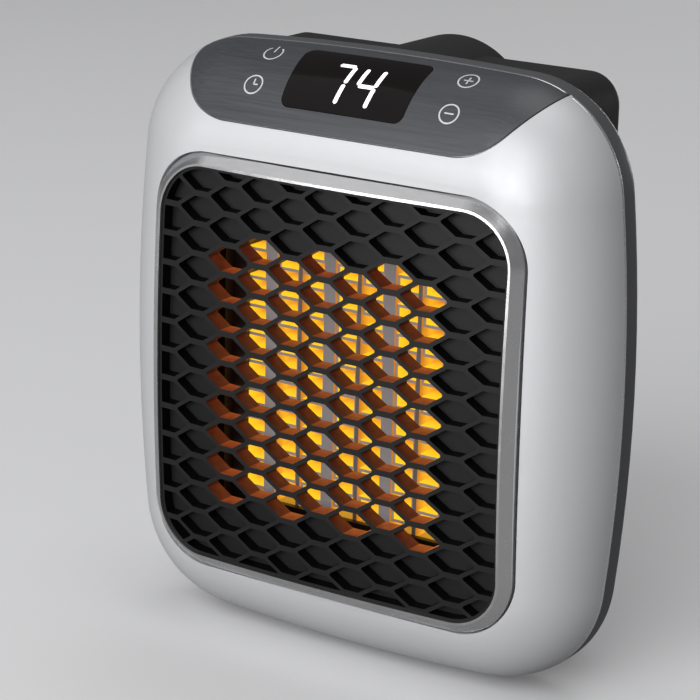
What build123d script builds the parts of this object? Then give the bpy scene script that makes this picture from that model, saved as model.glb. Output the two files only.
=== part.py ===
from build123d import *
from math import cos, pi, radians, sin, sqrt, tan
import os

# Plug-in fan heater with a turning plug, built as separate pieces.
# Frame: +Z up, the front looks along -Y and +Y runs into the wall.
# The origin is the middle of the plug turret's outer face, on the wall plane.
# All lengths are millimetres.

# Driving dimensions
overall_depth = 65.0  # wall plane to the crown of the grille
body_width = 147.5
body_height = 162.0
side_bow = 6.5  # how far the sides swell between their corners
top_bow = 2.8
bottom_bow = 4.0
top_corner_radius = 30.0
bottom_corner_radius = 32.0
front_roundness = 25.2  # radius that rolls the front face into the sides
face_setback = 4.15  # flat of the shell behind the crown of the grille
shell_depth = 26.6  # crown of the grille to the parting line
tray_depth = 8.0  # parting line to the back of the tray
tray_edge_radius = 3.6
shell_wall = 2.4
turret_rise = 56.4  # plug axis above the middle of the body

# Clearances
overrun = 5.0  # cutting tools pass their faces by this much
seat_gap = 0.05  # between fixed pieces that seat in each other
trim_gap = 0.5  # shadow line round the bezel
panel_gap = 0.35  # shadow line round the control panel
running_gap = 0.3  # between pieces that turn against each other
pin_gap = 0.06  # radial clearance of small pins and shafts

# Bezel and grille
bezel_width = 111.8
bezel_height = 113.6
bezel_corner = 17.0
bezel_band = 3.2
bezel_drop = 4.2  # centre of the bezel below the middle of the body
bezel_rise = 0.9  # ridge of the bezel in front of the grille's face
bezel_bevel_width = 2.6
bezel_bevel_depth = 2.2
bezel_depth = 7.9  # crown of the grille to the back of the bezel
dome_radius = 620.0
grille_thickness = 5.0
grille_flange = 1.6
grille_rim = 2.6
grille_border = 0.8
blind_depth = 3.5  # depth of the closed cells
cell_spacing = 9.92  # column to column
cell_row = 7.925  # row to row in one column
cell_length = 14.0
cell_flat = 4.3  # short level stretch above and below each cell
cell_height = 6.34
cell_round = 0.5
cell_drop = 1.3  # middle row of cells below the centre of the bezel
columns_each_side = 5
rows_each_side = 14  # half rows, counted from the middle row
open_columns = 3  # columns -3 to 3 are open
open_half_rows = 9

# Seat of the bezel and grille in the shell
collar_wall = 2.4
ledge_width = 6.4
ledge_thickness = 3.5

# Control panel and display
panel_thickness = 1.2
panel_bottom = 62.0  # lower edge above the middle of the body
panel_half_flat = 41.7  # half width of the lower edge before it sweeps up
panel_slope = 1.15  # rise over run of the swept ends
panel_sweep_radius = 18.0
panel_reach = 24.0  # height of the panel's outline, past the top of the body
window_tilt = 50.0  # degrees that the window looks up from level
window_width_bottom = 36.2
window_width_top = 38.2
window_length = 19.2
window_corner = 2.6
window_gap = 0.15
window_ledge = 2.0
lens_thickness = 1.1

# Control board, measured from the axis that the front's top edge rolls about
board_thickness = 1.6
board_height = 14.0
board_width = 78.0
board_length = 25.0
display_width = 30.0
display_length = 14.0
display_height = 22.2
digit_height = 12.0
digit_width = 3.8
digit_spacing = 9.0
digit_depth = 0.4
digit_lean = 5.0
bar_width = 1.1
bar_gap = 0.15
plug_y = -6.0
touch_x = 29.2
touch_upper = 6.1
touch_lower = -5.0
touch_radius = 3.2
touch_wire = 0.5
touch_turns = 4
touch_clearance = 0.4
board_post_x = 35.6
board_post_radius = 2.6
board_post_y = 3.5
buzzer_radius = 5.0
buzzer_height = 5.0
chip_size = 7.0
chip_height = 1.2
plug_length = 12.0
plug_width = 4.6
plug_height = 5.0
buzzer_x = 20.0
chip_x = -14.0
sensor_radius = 1.2
sensor_height = 4.0
sensor_x = -31.0

# Screws
screw_radius = 1.45
screw_head_radius = 2.8
screw_head = 1.8
screw_slot = 0.8
small_screw_radius = 1.0
small_head_radius = 2.0
small_head = 1.2

# Body screws, tray to shell
body_screw_x = 63.5
body_screw_up = 38.0
body_screw_down = -44.0
body_post_radius = 4.4
body_screw_length = 17.0
tongue_thickness = 1.2
tongue_reach = 2.0

# Rear housing and its boss
housing_width = 104.0
housing_top = 76.7  # above the middle of the body
housing_bottom = -61.0
housing_corner = 8.5
housing_depth = 24.8
housing_wall = 2.2
housing_edge_radius = 2.5
boss_radius = 23.8
boss_wall = 2.2
boss_lip = 3.0
boss_proud = 5.1  # boss past the housing's back
boss_edge_radius = 1.2
sleeve_front_gap = 0.5  # between the boss's sleeve and the wiper bridge
housing_post_x = 43.0
housing_post_up = 68.5
housing_post_down = -54.6
housing_post_radius = 3.4
housing_screw_length = 12.0

# Air intake in the back of the housing
intake_radius = 33.0
intake_slot = 2.6
intake_pitch = 5.2
intake_rows_each_side = 6
intake_rib = 2.4
intake_rib_shares = (-0.36, 0.0, 0.36)
slot_round_share = 0.45

# Plug turret and blades
turret_radius = 18.7
turret_proud = 0.5
flange_radius = 21.0
flange_thickness = 2.6
stem_radius = 15.0
turret_depth = 11.5
peg_length = 3.4
peg_width = 3.0
peg_thickness = 1.8
stop_length = 3.2
washer_room = 1.0
washer_outer = 20.6
blade_spacing = 12.7
blade_width = 6.35
blade_thickness = 1.52
blade_reach = 16.5
blade_hole_radius = 1.6
blade_hole_from_tip = 4.0
blade_tip_chamfer = 1.4
retainer_inner = 15.5
retainer_thickness = 1.8
retainer_skirt = 1.8
contact_thickness = 0.8
contact_pad_radius = 3.6
contact_ring_outer = 14.0
contact_ring_inner = 11.0
contact_tab = 2.4
wiper_width = 3.0
wiper_thickness = 0.5
wiper_button = 1.2
rivet_radius = 1.2
rivet_stand_out = 1.0
carrier_thickness = 2.4
carrier_half_width = 20.6
carrier_half_height = 7.0
carrier_setback = 5.2
lug_radius = 3.4

# Heater core
core_setback = 18.4  # crown of the grille to the front of the core
core_depth = 11.0
core_height = 80.0
strip_count = 4
strip_pitch = 18.5
strip_thickness = 3.5
divider_thickness = 1.2
fin_sheet = 0.8
fin_pitch = 3.9
core_cap = 1.0  # insulating sheets over and under the core
core_frame_wall = 2.4
core_frame_lip = 1.6
terminal_width = 4.8
terminal_sheet = 0.8
terminal_length = 10.6
thermostat_x = 17.0
thermostat_radius = 6.4
thermostat_height = 4.4
thermostat_cap = 4.6

# Duct
duct_wall = 1.8
duct_gap = 0.4
duct_flange = 2.0
duct_box_depth = 21.0
throat_radius = 38.0
throat_depth = 13.4
duct_screw_drop = 30.0
duct_screw_length = 5.0

# Fan and motor
impeller_radius = 36.5
impeller_front = 36.0
hub_radius = 14.2
hub_wall = 1.2
hub_depth = 11.0
blade_count = 7
blade_chord_root = 13.0
blade_chord_tip = 17.0
blade_pitch_root = 52.0
blade_pitch_tip = 62.0
vane_thickness = 1.3
motor_radius = 12.0
motor_front = 39.2
motor_length = 14.8
motor_cap_depth = 2.2
motor_cap_radius = 10.6
shaft_radius = 1.0
mount_ring_width = 4.6
mount_thickness = 2.2
mount_collar_wall = 2.0
mount_collar_depth = 4.0
mount_arm_width = 5.0
mount_arms = 3
ear_radius = 3.6

# Power board
power_board_width = 94.0
power_board_height = 19.0
power_board_rise = 7.0  # lower edge above the bottom of the body
power_board_lift = 2.4
power_post_x = 43.2
power_post_rise = 6.6
upper_post_x = 20.0
relay_size = (20.0, 10.0, 7.4)
relay_x = -28.0
capacitor_radius = 3.7
capacitor_length = 12.0
capacitor_x = 31.0
film_size = (13.0, 9.0, 6.0)
film_x = 14.0
fuse_radius = 2.6
fuse_length = 20.0
fuse_x = -8.0
lower_row_rise = 4.0  # middle of the lower row above the board's lower edge
terminal_drop = 3.0  # top of the terminals below the board's upper edge
terminal_height = 7.0
terminal_depth = 10.0
heater_block = 26.0
mains_block = 8.0
small_block = 7.0
mains_block_x = 31.0
motor_plug_x = -20.0
signal_plug_x = -43.6

# Mains switch in the side of the housing
switch_rise = -38.0  # above the middle of the body
switch_flange_length = 15.4
switch_flange_width = 11.0
switch_flange_thickness = 1.2
switch_body_length = 13.6
switch_body_width = 9.2
switch_body_depth = 10.5
switch_well_length = 12.6
switch_well_width = 7.4
switch_well_depth = 5.4
rocker_width = 6.8
rocker_half_length = 5.4
rocker_tip = 2.2
rocker_dip = 1.3
rocker_skirt = 0.5
rocker_belly = 3.0
rocker_belly_half = 2.5
rocker_pin_radius = 0.9
rocker_pin_length = 8.4
rocker_angle = 8.0
tab_length = 3.5
tab_spacing = 4.5
tab_width = 2.4
tab_thickness = 0.6

# Wires
wire_radius = 1.1
thin_wire_radius = 0.7
wire_bend = 2.5
wire_slot_half = 35.0
wire_slot_height = 4.0
wire_slot_drop = 4.2  # middle of the wire slot under the duct
wire_pair = 1.3  # half the distance between paired wires

# Places that follow from the sizes above
crown_y = -overall_depth
face_y = crown_y + face_setback
parting_y = crown_y + shell_depth
tray_back_y = parting_y + tray_depth
tray_inner_y = tray_back_y - shell_wall
housing_back_y = tray_back_y + housing_depth
boss_back_y = housing_back_y + boss_proud
middle_z = -turret_rise
top_z = middle_z + body_height / 2
bottom_z = middle_z - body_height / 2
bezel_z = middle_z - bezel_drop
bezel_back_y = crown_y + bezel_depth
ledge_front_y = bezel_back_y + grille_flange
ledge_back_y = ledge_front_y + ledge_thickness
roll_y = face_y + front_roundness  # axis that the front's top edge rolls about
roll_z = top_z - front_roundness
core_front_y = crown_y + core_setback
core_back_y = core_front_y + core_depth
terminal_y = core_front_y + core_depth / 2
fin_width = (strip_pitch - strip_thickness - divider_thickness) / 2
core_half_width = (strip_count - 1) / 2 * strip_pitch + strip_thickness / 2 + fin_width
grille_half_width = bezel_width / 2 - bezel_band
grille_half_height = bezel_height / 2 - bezel_band
duct_half_width = core_half_width + core_frame_wall + duct_gap / 4
duct_half_height = core_height / 2 + core_cap + core_frame_wall + duct_gap / 4
duct_box_y = ledge_back_y + duct_box_depth
throat_back_y = duct_box_y + throat_depth
mount_screw_radius = throat_radius + duct_wall + small_head_radius
body_seat_y = tray_back_y - screw_head
power_board_z = bottom_z + power_board_rise + power_board_height / 2
power_board_y = tray_inner_y - power_board_lift - board_thickness
terminal_z = power_board_z + power_board_height / 2 - terminal_drop - terminal_height / 2
lower_row_z = power_board_z - power_board_height / 2 + lower_row_rise
switch_y = (tray_back_y + housing_back_y) / 2
switch_z = middle_z + switch_rise
rocker_x = -housing_width / 2 + switch_flange_thickness
turret_back_y = boss_back_y + turret_proud
turret_front_y = turret_back_y - turret_depth
flange_back_y = boss_back_y - boss_lip - running_gap
flange_front_y = flange_back_y - flange_thickness
retainer_back_y = flange_front_y - washer_room
retainer_front_y = retainer_back_y - retainer_thickness
contact_front_y = turret_front_y - contact_thickness
carrier_y = contact_front_y - carrier_setback
carrier_back_y = carrier_y + carrier_thickness
lug_x = carrier_half_width + lug_radius + housing_wall
neutral_x = (contact_ring_outer + contact_ring_inner) / 2
wire_slot_z = bezel_z - duct_half_height - duct_wall - wire_slot_drop
board_low = board_height - board_thickness
terminal_top_z = terminal_z + terminal_height / 2 + seat_gap
front_wire_y = power_board_y - terminal_depth / 2
wiper_wire_y = carrier_y - rivet_stand_out - wire_radius - seat_gap
motor_wire_y = crown_y + motor_front + motor_length - thin_wire_radius - trim_gap
wiper_wire_z = -carrier_half_height - 2 * wire_radius
tab_end_x = -housing_width / 2 + switch_body_depth + tab_length + seat_gap
digit_slant = tan(radians(digit_lean))
up_share = sin(radians(window_tilt))
out_share = cos(radians(window_tilt))

# Plane of the window and the control board, on the axis that the top edge rolls about
window_plane = Plane(origin=(0, roll_y, roll_z), x_dir=(1, 0, 0), z_dir=(0, -out_share, up_share))

os.makedirs("parts", exist_ok=True)


def save(name, shape):
    """Write one piece under the name that a person would use for it."""
    solids = shape.solids()
    export_step(Compound(solids) if len(solids) > 1 else solids[0], f"parts/{name}.step")
    print(f"{name}: {len(solids)} solids")


def prism(sketch, front_y, back_y):
    """Run an outline drawn in X and Z from front_y back to back_y."""
    return extrude(Plane.XZ.offset(-back_y) * sketch, amount=back_y - front_y)


def disc(radius, front_y, back_y, x=0, z=0):
    return prism(Pos(x, z) * Circle(radius), front_y, back_y)


def ring(outer, inner, front_y, back_y, x=0, z=0):
    return prism(Pos(x, z) * (Circle(outer) - Circle(inner)), front_y, back_y)


def plate(half_width, half_height, corner, front_y, back_y, x=0, z=0):
    outline = RectangleRounded(2 * half_width, 2 * half_height, corner)
    return prism(Pos(x, z) * outline, front_y, back_y)


def box(size_x, size_y, size_z, x, y, z):
    return Pos(x, y, z) * Box(size_x, size_y, size_z)


def screw(head_y, length, x, z, size=(screw_radius, screw_head_radius, screw_head), way=-1):
    """A pan-head screw along Y: its head rises from head_y, its shank runs the other way."""
    radius, head_radius, head = size
    shank_end = head_y + way * length
    head_end = head_y - way * head
    body = disc(radius, min(head_y, shank_end), max(head_y, shank_end), x, z)
    cap = disc(head_radius, min(head_y, head_end), max(head_y, head_end), x, z)
    slot_y = head_end + way * head / 4
    slot = box(2 * head_radius, head / 2 + seat_gap, screw_slot, x, slot_y, z)
    return body + cap - slot


# The outer form of the body, shared by the shell, the panel, the window and the tray


def body_outline(inset):
    """The body seen from the front: four bowed sides with rounded corners."""
    half = body_width / 2 - side_bow
    high = body_height / 2 - top_bow
    low = -body_height / 2 + bottom_bow
    top_left = (-half, high)
    top_right = (half, high)
    low_left = (-half, low)
    low_right = (half, low)
    sides = ThreePointArc(top_left, (0, body_height / 2), top_right)
    sides += ThreePointArc(top_right, (body_width / 2, (high + low) / 2), low_right)
    sides += ThreePointArc(low_right, (0, -body_height / 2), low_left)
    sides += ThreePointArc(low_left, (-body_width / 2, (high + low) / 2), top_left)
    face = make_face(sides)
    by_height = face.vertices().sort_by(Axis.Y)
    face = fillet(by_height[2:], top_corner_radius)
    face = fillet(face.vertices().sort_by(Axis.Y)[:2], bottom_corner_radius)
    if inset:
        face = offset(face, amount=-inset)
    return Pos(0, middle_z) * face


def body_form(inset, back_y):
    """The pillow shape of the body, drawn in by inset all over its front and sides."""
    block = prism(body_outline(inset), face_y + inset, back_y)
    front = block.faces().sort_by(Axis.Y)[0]
    return fillet(front.edges(), front_roundness - inset)


def dome(setback):
    """A very large ball whose crown lies setback behind the crown of the grille."""
    return Pos(0, crown_y + setback + dome_radius, bezel_z) * Sphere(dome_radius)


outer_form = body_form(0, tray_back_y)
inner_form = body_form(shell_wall, tray_inner_y)
front_half = box(2 * body_width, overall_depth, 2 * body_height, 0, parting_y - overall_depth / 2, middle_z)


def panel_outline(gap):
    """Boat-shaped outline of the control panel, open past the top of the body."""
    sweep = panel_reach / panel_slope
    low = panel_bottom - gap
    high = panel_bottom + panel_reach
    half = panel_half_flat + gap
    points = [(-half - sweep, high), (-half, low), (half, low), (half + sweep, high)]
    face = make_face(Polyline(*points, close=True))
    face = fillet(face.vertices().sort_by(Axis.Y)[:2], panel_sweep_radius)
    return Pos(0, middle_z) * face


def window_prism(margin, low, high):
    """A block with the window's outline, from low to high above the roll axis."""
    half_bottom = window_width_bottom / 2 + margin
    half_top = window_width_top / 2 + margin
    reach = window_length / 2 + margin
    points = [(-half_bottom, -reach), (half_bottom, -reach), (half_top, reach), (-half_top, reach)]
    face = make_face(Polyline(*points, close=True))
    face = fillet(face.vertices(), window_corner)
    return extrude(window_plane.offset(low) * face, amount=high - low)


def make_front_shell():
    skin = (outer_form & front_half) - inner_form
    half_w = bezel_width / 2 + trim_gap
    half_h = bezel_height / 2 + trim_gap
    corner = bezel_corner + trim_gap
    wall = collar_wall
    collar = plate(half_w + wall, half_h + wall, corner + wall, crown_y, ledge_back_y, z=bezel_z)
    skin += collar & outer_form
    skin -= plate(half_w, half_h, corner, crown_y - overrun, ledge_front_y, z=bezel_z)
    mouth_w = half_w - ledge_width
    mouth_h = half_h - ledge_width
    skin -= plate(mouth_w, mouth_h, corner - ledge_width, crown_y, ledge_back_y + overrun, z=bezel_z)
    recess = prism(panel_outline(panel_gap), crown_y - overrun, parting_y)
    skin -= recess - body_form(panel_thickness + seat_gap, tray_back_y)
    skin -= window_prism(-window_ledge, board_height, front_roundness + overrun)
    for side in (-1, 1):
        for rise in (body_screw_up, body_screw_down):
            x = side * body_screw_x
            z = middle_z + rise
            skin += disc(body_post_radius, face_y, parting_y - tongue_reach, x, z) & inner_form
            hole_front = body_seat_y - body_screw_length - trim_gap
            skin -= disc(screw_radius + seat_gap, hole_front, parting_y, x, z)
        for drop in (-duct_screw_drop, duct_screw_drop):
            x = side * (half_w - ledge_width / 2)
            hole_front = ledge_back_y + duct_flange - duct_screw_length - seat_gap
            skin -= disc(small_screw_radius + seat_gap, hole_front, ledge_back_y, x, bezel_z + drop)
        spot = window_plane.offset(board_height) * Pos(side * board_post_x, board_post_y)
        skin += extrude(spot * Circle(board_post_radius), amount=front_roundness) & inner_form
        skin -= extrude(spot * Circle(small_screw_radius + seat_gap), amount=duct_screw_length)
    return skin


def make_control_panel():
    cover = prism(panel_outline(0), crown_y - overrun, parting_y) & outer_form
    cover -= body_form(panel_thickness, tray_back_y)
    return cover - window_prism(window_gap, board_height, front_roundness + overrun)


def make_display_window():
    lens = window_prism(0, board_height, front_roundness + overrun) & outer_form
    return lens - body_form(lens_thickness, tray_back_y)


def make_bezel_ring():
    outline = RectangleRounded(bezel_width, bezel_height, bezel_corner)
    band = prism(Pos(0, bezel_z) * outline, crown_y - overrun, bezel_back_y) & dome(-bezel_rise)
    front = band.faces().sort_by(Axis.Y)[0]
    band = chamfer(front.edges(), bezel_bevel_width, bezel_bevel_depth, reference=front)
    corner = bezel_corner - bezel_band
    front_y = crown_y - overrun
    back_y = bezel_back_y + overrun
    return band - plate(grille_half_width, grille_half_height, corner, front_y, back_y, z=bezel_z)


def cell_face():
    """One stretched hexagon with softened corners."""
    tip = cell_length / 2
    flat = cell_flat / 2
    high = cell_height / 2
    points = [(-tip, 0), (-flat, high), (flat, high), (tip, 0), (flat, -high), (-flat, -high)]
    face = make_face(Polyline(*points, close=True))
    return fillet(face.vertices(), cell_round)


def cell_places():
    """Every cell's centre, and whether it is open: odd columns sit half a row lower."""
    places = []
    for column in range(-columns_each_side, columns_each_side + 1):
        odd = column % 2
        for half_row in range(-rows_each_side, rows_each_side + 1):
            if (half_row + 1) % 2 != odd:
                continue
            is_open = abs(column) <= open_columns and -open_half_rows <= half_row < open_half_rows
            x = column * cell_spacing
            z = bezel_z - cell_drop - half_row * cell_row / 2
            places.append((x, z, is_open))
    return places


def make_grille():
    seat = seat_gap
    half_w = grille_half_width - seat
    half_h = grille_half_height - seat
    corner = bezel_corner - bezel_band - seat
    panel = plate(half_w, half_h, corner, crown_y - overrun, bezel_back_y, z=bezel_z)
    panel = (panel & dome(0)) - dome(grille_thickness)
    inner_w = half_w - grille_rim
    inner_h = half_h - grille_rim
    middle = plate(inner_w, inner_h, corner - grille_rim, crown_y, ledge_front_y, z=bezel_z)
    rim = plate(half_w, half_h, corner, crown_y, ledge_front_y, z=bezel_z)
    panel += (rim - middle) & dome(0)
    flange = plate(bezel_width / 2, bezel_height / 2, bezel_corner, bezel_back_y, ledge_front_y, z=bezel_z)
    panel += flange - middle
    through = []
    blind = []
    for x, z, is_open in cell_places():
        (through if is_open else blind).append(Pos(x, z) * cell_face())
    edge = grille_border
    field = plate(half_w - edge, half_h - edge, corner - edge, crown_y - overrun, bezel_back_y, z=bezel_z)
    wells = prism(Sketch() + blind, crown_y - overrun, bezel_back_y) & field
    panel -= wells - dome(blind_depth)
    panel -= prism(Sketch() + through, crown_y - overrun, ledge_back_y)
    return panel


def make_rear_tray():
    body = outer_form - front_half
    back = body.faces().sort_by(Axis.Y)[-1]
    body = fillet(back.edges(), tray_edge_radius)
    body -= inner_form
    tongue_inside = body_outline(shell_wall + tongue_thickness)
    root = body_outline(shell_wall / 2) - tongue_inside
    body += prism(root, parting_y, tray_inner_y)
    tongue = body_outline(shell_wall + seat_gap) - tongue_inside
    body += prism(tongue, parting_y - tongue_reach, parting_y) & inner_form
    duct_w = duct_half_width + duct_wall + duct_gap
    duct_h = duct_half_height + duct_wall + duct_gap
    front_y = tray_inner_y - overrun
    back_y = tray_back_y + overrun
    body -= plate(duct_w, duct_h, duct_wall, front_y, back_y, z=bezel_z)
    body -= plate(wire_slot_half, wire_slot_height / 2, wire_radius, front_y, back_y, z=wire_slot_z)
    for side in (-1, 1):
        for rise in (body_screw_up, body_screw_down):
            x = side * body_screw_x
            z = middle_z + rise
            body += disc(body_post_radius, parting_y - tongue_reach, tray_inner_y, x, z)
            body -= disc(screw_radius + seat_gap, parting_y - overrun, back_y, x, z)
            body -= disc(screw_head_radius + seat_gap, body_seat_y, back_y, x, z)
        for rise in (housing_post_up, housing_post_down):
            x = side * housing_post_x
            body -= disc(screw_radius + seat_gap, tray_inner_y, tray_back_y, x, middle_z + rise)
    for x, z in power_screw_places():
        body += disc(board_post_radius, power_board_y + board_thickness, tray_inner_y, x, z)
        hole_back = tray_inner_y + shell_wall / 2
        body -= disc(small_screw_radius + seat_gap, power_board_y + board_thickness, hole_back, x, z)
    return body


def make_rear_housing():
    half_w = housing_width / 2
    half_h = (housing_top - housing_bottom) / 2
    centre_z = middle_z + (housing_top + housing_bottom) / 2
    casing = plate(half_w, half_h, housing_corner, tray_back_y, housing_back_y, z=centre_z)
    back = casing.faces().sort_by(Axis.Y)[-1]
    casing = fillet(back.edges(), housing_edge_radius)
    boss = disc(boss_radius, tray_back_y, boss_back_y)
    boss = fillet(boss.faces().sort_by(Axis.Y)[-1].edges(), boss_edge_radius)
    casing += boss
    inner_half_w = half_w - housing_wall
    inner_half_h = half_h - housing_wall
    inner_corner = housing_corner - housing_wall
    wall_y = housing_back_y - housing_wall
    hollow = plate(inner_half_w, inner_half_h, inner_corner, tray_back_y, wall_y, z=centre_z)
    hollow += disc(boss_radius - boss_wall, tray_back_y, boss_back_y - boss_lip)
    sleeve_y = carrier_back_y + sleeve_front_gap
    sleeve = ring(boss_radius, boss_radius - boss_wall, sleeve_y, boss_back_y - boss_lip)
    casing -= hollow
    casing += sleeve
    casing -= disc(turret_radius + running_gap, boss_back_y - boss_lip - overrun, boss_back_y + overrun)
    casing -= make_intake()
    for side in (-1, 1):
        for rise in (housing_post_up, housing_post_down):
            x = side * housing_post_x
            z = middle_z + rise
            casing += disc(housing_post_radius, tray_back_y, wall_y, x, z)
            casing -= disc(screw_radius + seat_gap, tray_back_y, tray_back_y + housing_screw_length, x, z)
        lug_hole_back = carrier_back_y + duct_screw_length
        casing += disc(lug_radius, carrier_back_y, wall_y, side * lug_x)
        casing -= disc(small_screw_radius + seat_gap, carrier_back_y, lug_hole_back, side * lug_x)
    hole_depth = 2 * switch_flange_thickness + 2 * housing_wall
    hole_width = switch_body_width + 2 * seat_gap
    hole_length = switch_body_length + 2 * seat_gap
    return casing - box(hole_depth, hole_width, hole_length, -half_w, switch_y, switch_z)


def make_intake():
    """Level slots in a round field behind the fan, with upright ribs left across them."""
    slots = []
    for row in range(-intake_rows_each_side, intake_rows_each_side + 1):
        rise = row * intake_pitch
        half = sqrt(intake_radius**2 - rise**2)
        slot = RectangleRounded(2 * half, intake_slot, intake_slot * slot_round_share)
        slots.append(Pos(0, bezel_z + rise) * slot)
    field = Sketch() + slots
    for share in intake_rib_shares:
        rib = Pos(share * 2 * intake_radius, bezel_z) * Rectangle(intake_rib, 3 * intake_radius)
        field -= rib
    return prism(field, housing_back_y - housing_wall - seat_gap, housing_back_y + overrun)


def blade_x(side):
    return side * blade_spacing / 2


def make_plug_turret():
    body = disc(turret_radius, flange_front_y, turret_back_y)
    body = fillet(body.faces().sort_by(Axis.Y)[-1].edges(), turret_proud / 2)
    body += disc(flange_radius, flange_front_y, flange_back_y)
    body += disc(stem_radius, turret_front_y, flange_front_y)
    peg_z = stem_radius + peg_length / 2
    peg_y = turret_front_y + peg_thickness / 2
    body += box(peg_width, peg_thickness, peg_length + peg_width / 2, 0, peg_y, peg_z - peg_width / 4)
    slot_x = blade_thickness + 2 * seat_gap
    slot_z = blade_width + 2 * seat_gap
    for side in (-1, 1):
        body -= box(slot_x, 2 * turret_depth, slot_z, blade_x(side), turret_front_y, 0)
    return body


def make_blade(side):
    length = turret_back_y - contact_front_y + blade_reach
    blade = box(blade_thickness, length, blade_width, blade_x(side), contact_front_y + length / 2, 0)
    tip_edges = blade.faces().sort_by(Axis.Y)[-1].edges().filter_by(Axis.X)
    blade = chamfer(tip_edges, blade_tip_chamfer)
    hole = Pos(blade_x(side), turret_back_y + blade_reach - blade_hole_from_tip, 0) * Rot(0, 90, 0)
    return blade - hole * Cylinder(blade_hole_radius, 2 * blade_thickness)


def blade_slot(side):
    """Where a blade's tail passes through its contact."""
    return Pos(blade_x(side), 0) * Rectangle(blade_thickness + 2 * seat_gap, blade_width + 2 * seat_gap)


def make_line_contact():
    """Centre pad with a tab to the line blade."""
    tab_end = blade_spacing / 2
    tab = Pos(-tab_end / 2, 0) * Rectangle(tab_end, contact_tab)
    return prism(Circle(contact_pad_radius) + tab - blade_slot(-1), contact_front_y, turret_front_y)


def make_neutral_contact():
    """Outer ring with a tab in to the neutral blade."""
    start = blade_spacing / 2
    width = contact_ring_inner + contact_tab / 4 - start
    tab = Pos(start + width / 2, 0) * Rectangle(width, contact_tab)
    band = Circle(contact_ring_outer) - Circle(contact_ring_inner)
    return prism(band + tab - blade_slot(1), contact_front_y, turret_front_y)


def make_turret_retainer():
    outer = boss_radius - boss_wall - seat_gap
    band = ring(outer, retainer_inner, retainer_front_y, retainer_back_y)
    band += ring(outer, outer - retainer_skirt, carrier_back_y, retainer_front_y)
    for side in (-1, 1):
        reach = outer - stop_length / 2 - retainer_skirt / 2
        drop = -peg_width / 2 - running_gap - stop_length / 2
        depth = retainer_front_y - turret_front_y
        band += box(stop_length, depth, stop_length, side * reach, retainer_front_y - depth / 2, drop)
    return band


def make_friction_washer():
    """Thin ring between the turret's flange and the retainer: it makes the turret stiff to turn."""
    inner = retainer_inner + running_gap
    return ring(washer_outer, inner, retainer_back_y + seat_gap, flange_front_y - seat_gap)


def make_wiper_bridge():
    """Insulating bridge that holds the two wipers, screwed to lugs beside the boss."""
    half_w = lug_x + lug_radius
    bridge = plate(half_w, carrier_half_height, carrier_thickness, carrier_y, carrier_back_y)
    for side in (-1, 1):
        bridge -= disc(small_screw_radius + seat_gap, carrier_y, carrier_back_y, side * lug_x)
    for x in (0, neutral_x):
        bridge -= disc(rivet_radius + seat_gap, carrier_y, carrier_back_y, x, -carrier_half_height / 2)
    return bridge


def make_wiper(x):
    """A leaf spring: a riveted foot on the bridge, a rising leaf and a button under the contact."""
    foot_z = -carrier_half_height / 2
    low_y = carrier_back_y
    high_y = contact_front_y - wiper_thickness - seat_gap
    foot = box(wiper_width, wiper_thickness, carrier_half_height, x, low_y + wiper_thickness / 2, foot_z)
    rivet = disc(rivet_radius, carrier_y - rivet_stand_out, low_y, x, foot_z)
    profile = Polyline(
        (low_y, -wiper_width / 2 - wiper_thickness),
        (low_y + wiper_thickness, -wiper_width / 2 - wiper_thickness),
        (high_y, -wiper_thickness),
        (high_y, wiper_width / 2),
        (high_y - wiper_thickness, wiper_width / 2),
        (high_y - wiper_thickness, 0),
        (low_y, -wiper_width / 2),
        close=True,
    )
    leaf = extrude(Plane.YZ.offset(x - wiper_width / 2) * make_face(profile), amount=wiper_width)
    button = disc(wiper_button, high_y, high_y + wiper_thickness, x, wiper_width / 4)
    return foot + rivet + leaf + button


def make_switch_frame():
    side_x = -housing_width / 2
    rim = switch_flange_thickness
    frame = box(rim, switch_flange_width, switch_flange_length, side_x - rim / 2, switch_y, switch_z)
    body_x = side_x + switch_body_depth / 2
    frame += box(switch_body_depth, switch_body_width, switch_body_length, body_x, switch_y, switch_z)
    well_depth = switch_well_depth + rim
    well_x = side_x - rim + well_depth / 2
    frame -= box(well_depth, switch_well_width, switch_well_length, well_x, switch_y, switch_z)
    pin = Cylinder(rocker_pin_radius + pin_gap, rocker_pin_length + 2 * pin_gap)
    return frame - Pos(rocker_x, switch_y, switch_z) * Rot(90, 0, 0) * pin


def make_switch_tabs():
    tabs = []
    for end in (-1, 1):
        x = -housing_width / 2 + switch_body_depth + tab_length / 2
        tabs.append(box(tab_length, tab_width, tab_thickness, x, switch_y, switch_z + end * tab_spacing))
    return Compound(tabs)


def make_switch_rocker():
    """V-faced rocker, stored with its lower end out: the off position."""
    points = [
        (rocker_skirt, -rocker_half_length),
        (-rocker_tip, -rocker_half_length),
        (-rocker_dip, 0),
        (-rocker_tip, rocker_half_length),
        (rocker_skirt, rocker_half_length),
        (rocker_belly, rocker_belly_half),
        (rocker_belly, -rocker_belly_half),
    ]
    face = make_face(Polyline(*points, close=True))
    body = extrude(Plane.XZ.offset(-rocker_width / 2) * face, amount=rocker_width)
    body += Rot(90, 0, 0) * Cylinder(rocker_pin_radius, rocker_pin_length)
    return Pos(rocker_x, switch_y, switch_z) * Rot(0, rocker_angle, 0) * body


# Heater core: upright ceramic strips, corrugated fins and thin dividers between them


def make_strip(number):
    x = (number - (strip_count - 1) / 2) * strip_pitch
    return box(strip_thickness, core_depth, core_height, x, terminal_y, bezel_z)


def make_divider(number):
    x = (number - (strip_count - 2) / 2) * strip_pitch
    return box(divider_thickness, core_depth, core_height, x, terminal_y, bezel_z)


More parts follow.
